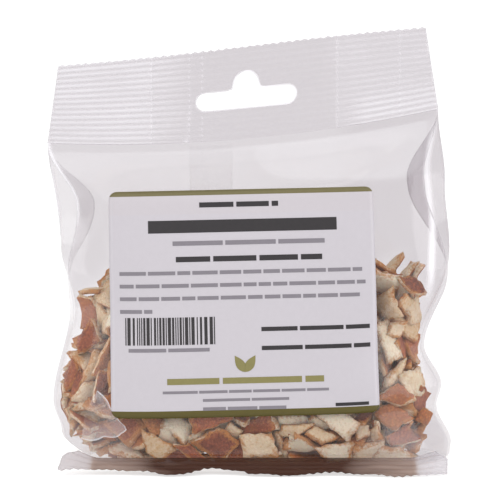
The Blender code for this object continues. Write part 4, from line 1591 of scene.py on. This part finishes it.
    def slot_glints(self) -> bmesh.types.BMesh:
        """Make the pale ring round the hanging slot, a little in front of the header: painted glints along
        the slot's edge.
        """
        inner = self.slot_outline()
        shape = bmesh.new()
        rings = []
        for width in (0.0, 0.45 * MM):
            ring = []
            for i, (x, y) in enumerate(inner):
                before, after = inner[i - 1], inner[(i + 1) % len(inner)]
                run = Vector((after[0] - before[0], after[1] - before[1])).normalized()
                ring.append(shape.verts.new((x + run.y * width, y - run.x * width, 0.0)))
            rings.append([shape.edges.new((ring[i], ring[(i + 1) % len(ring)])) for i in range(len(ring))])
        bmesh.ops.bridge_loops(shape, edges=rings[0] + rings[1])
        haze_and_highlight = []
        for vert in shape.verts:
            x, up = vert.co.x, vert.co.y
            # Painted glints, broken up by noise along the edge.
            glint = 0.5 + 1.3 * uneven(x / (5.0 * MM), up / (4.0 * MM), 2.5)
            haze_and_highlight.append(0.18 + 0.75 * min(max(glint, 0.0), 1.0))
            y = self.header_y(x, up) - self.header_gap / 2 - 0.12 * MM
            vert.co = Vector((x, y, self.header_z(x, up))) - self.form.middle
        self.dress(shape, haze_and_highlight, 0.0)
        return shape

    def corner_fold(self, body: bpy.types.Object) -> bmesh.types.BMesh:
        """Make the folded corner of the gusset that lies on the front film, low on the left.

        Args:
            body: The film's finished body.

        Returns:
            The fan of film that ends in the fold.
        """
        source = bmesh.new()
        source.from_mesh(body.data)
        tree = BVHTree.FromBMesh(source)
        source.free()
        shape = bmesh.new()
        bmesh.ops.create_grid(shape, x_segments=40, y_segments=26, size=0.5)
        haze_and_highlight = []
        for vert in shape.verts:
            turn = mix(-100.0, 60.0, vert.co.x + 0.5)
            share = 1.0 - (0.5 - vert.co.y) ** 2 * 0.9
            reach = along(self.fold_reach, turn) * share
            x = self.fold_middle[0] + reach * math.cos(math.radians(turn))
            z = self.fold_middle[1] + reach * math.sin(math.radians(turn))
            hit = tree.ray_cast(Vector((x, -60.0 * MM, z)), Vector((0.0, 1.0, 0.0)))[0]
            y = hit.y if hit else self.form.panel_y(x, z)
            vert.co = Vector((x, y - 0.3 * MM, z))
            # The pale rim along the fold is partly the whitened crease, partly painted highlight.
            rim = 1.0 - ease((along(self.fold_reach, turn) - reach) / (0.8 * MM))
            haze_and_highlight.append(0.15 * ease((share - 0.2) / 0.6) + 0.4 * rim)
        self.dress(shape, haze_and_highlight, 0.1)
        return shape

    def doubled(self, name: str, shape: bmesh.types.BMesh, film: bpy.types.Material, gap: float) -> None:
        """Give a flat part of the film its two sealed layers.

        Args:
            name: The piece's name.
            shape: The sheet midway between the layers.
            film: The film's material.
            gap: Distance between the layers' outer faces.
        """
        piece = mesh_piece(name, shape, film)
        wall = piece.modifiers.new("layers", "SOLIDIFY")
        wall.thickness = gap
        wall.offset = 0.0
        settle_in(piece, "bag")

    def build(self, peel: list[bpy.types.Object]) -> None:
        """Make every part of the film bag.

        Args:
            peel: The poured peel that the film is drawn onto.
        """
        film = FilmFinish().build()
        body = mesh_piece("film_body", self.draped_body(peel), film)
        settle_in(body, "bag")
        settle_in(mesh_piece("film_corner_fold", self.corner_fold(body), film), "bag")
        self.doubled("film_header", self.header(), film, self.header_gap)
        self.doubled("film_seal", self.seal(), film, self.seal_gap)
        settle_in(mesh_piece("film_seam", self.seam_strip(), film), "bag")
        settle_in(mesh_piece("film_slot_glints", self.slot_glints(), film), "bag")


@dataclass
class Studio:
    """A pale sweep, soft lamps and the camera."""

    floor_size: float = 2.4
    wall_distance: float = 0.9
    sweep_radius: float = 0.35
    camera_distance: float = 0.625
    camera_height: float = 70.0 * MM
    camera_rise: float = math.radians(5.0)
    focal_pixels: float = 1880.0
    frame_pixels: float = 500.0
    sensor: float = 36.0

    def sweep(self) -> None:
        """Make the floor that curves up into the backdrop."""
        shape = bmesh.new()
        bmesh.ops.create_grid(shape, x_segments=1, y_segments=60, size=0.5)
        length = self.wall_distance + self.floor_size
        for vert in shape.verts:
            run = (vert.co.y + 0.5) * length - self.floor_size / 2
            past = run - self.wall_distance + self.sweep_radius
            arc = min(max(past / self.sweep_radius, 0.0), math.pi / 2)
            y = min(run, self.wall_distance - self.sweep_radius) + self.sweep_radius * math.sin(arc)
            z = self.sweep_radius * (1.0 - math.cos(arc)) + max(past - self.sweep_radius * math.pi / 2, 0.0)
            vert.co = Vector((vert.co.x * self.floor_size * 2.0, y, z))
        material, tree, output = new_tree("pale_paper")
        surface = add_node(tree, "ShaderNodeBsdfPrincipled",
                           {"Base Color": linear("B4B4B4"), "Roughness": 0.9,
                            "Emission Color": linear("FFFFFF"), "Emission Strength": 0.62})
        tree.links.new(surface.outputs[0], output.inputs["Surface"])
        mesh_piece("backdrop", shape, material)

    def lamp(self, name: str, place: tuple, aim: tuple, size: tuple, power: float) -> None:
        """Add one rectangular soft lamp.

        Args:
            name: Its name.
            place: Where it hangs.
            aim: What it points at.
            size: Its width and height.
            power: Its power in watts.
        """
        light = bpy.data.lights.new(name, "AREA")
        light.shape, light.size, light.size_y = "RECTANGLE", size[0], size[1]
        light.energy = power
        item = bpy.data.objects.new(name, light)
        item.location = place
        direction = Vector(aim) - Vector(place)
        item.rotation_euler = direction.to_track_quat("-Z", "Y").to_euler()
        bpy.context.scene.collection.objects.link(item)

    def camera(self) -> None:
        """Place the camera level with the bag, looking slightly down on it."""
        lens = bpy.data.cameras.new("camera")
        lens.sensor_width = self.sensor
        lens.lens = self.focal_pixels / self.frame_pixels * self.sensor
        item = bpy.data.objects.new("camera", lens)
        away = Vector((0.0, -math.cos(self.camera_rise), math.sin(self.camera_rise)))
        target = Vector((0.0, 0.0, self.camera_height))
        item.location = target + away * self.camera_distance
        item.rotation_euler = (-away).to_track_quat("-Z", "Y").to_euler()
        bpy.context.scene.collection.objects.link(item)
        bpy.context.scene.camera = item

    def build(self) -> None:
        """Make the sweep, the lamps and the camera."""
        self.sweep()
        self.lamp("top_softbox", (0.0, -0.15, 0.95), (0.0, 0.05, 0.05), (1.1, 0.9), 2.2)
        self.lamp("front_softbox", (-0.35, -0.95, 0.75), (0.0, 0.0, 0.07), (0.9, 0.7), 2.2)
        self.lamp("left_strip", (-0.65, -0.15, 0.25), (0.0, 0.0, 0.07), (0.3, 0.7), 1.3)
        self.lamp("right_strip", (0.65, -0.25, 0.25), (0.0, 0.0, 0.07), (0.42, 0.8), 2.4)
        world = bpy.data.worlds.new("studio")
        world.use_nodes = True
        ground = world.node_tree.nodes["Background"]
        ground.inputs["Color"].default_value = (1.0, 1.0, 1.0, 1.0)
        ground.inputs["Strength"].default_value = 0.7
        bpy.context.scene.world = world
        bpy.context.scene.view_settings.view_transform = "Standard"
        self.camera()


def main() -> None:
    """Build the studio, the peel, the label and the film around the frame."""
    logging.basicConfig(level=logging.INFO, format="%(name)s %(message)s")
    began = time.perf_counter()
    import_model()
    form = BagForm()
    Studio().build()
    peel = PeelHeap(form).build(PeelFinish().build())
    LOG.info("peel after %.0f s", time.perf_counter() - began)
    label = LabelSheet(form)
    label.build()
    FilmBag(form, label).build(peel)
    LOG.info("film after %.0f s", time.perf_counter() - began)


if __name__ == "__main__":
    main()
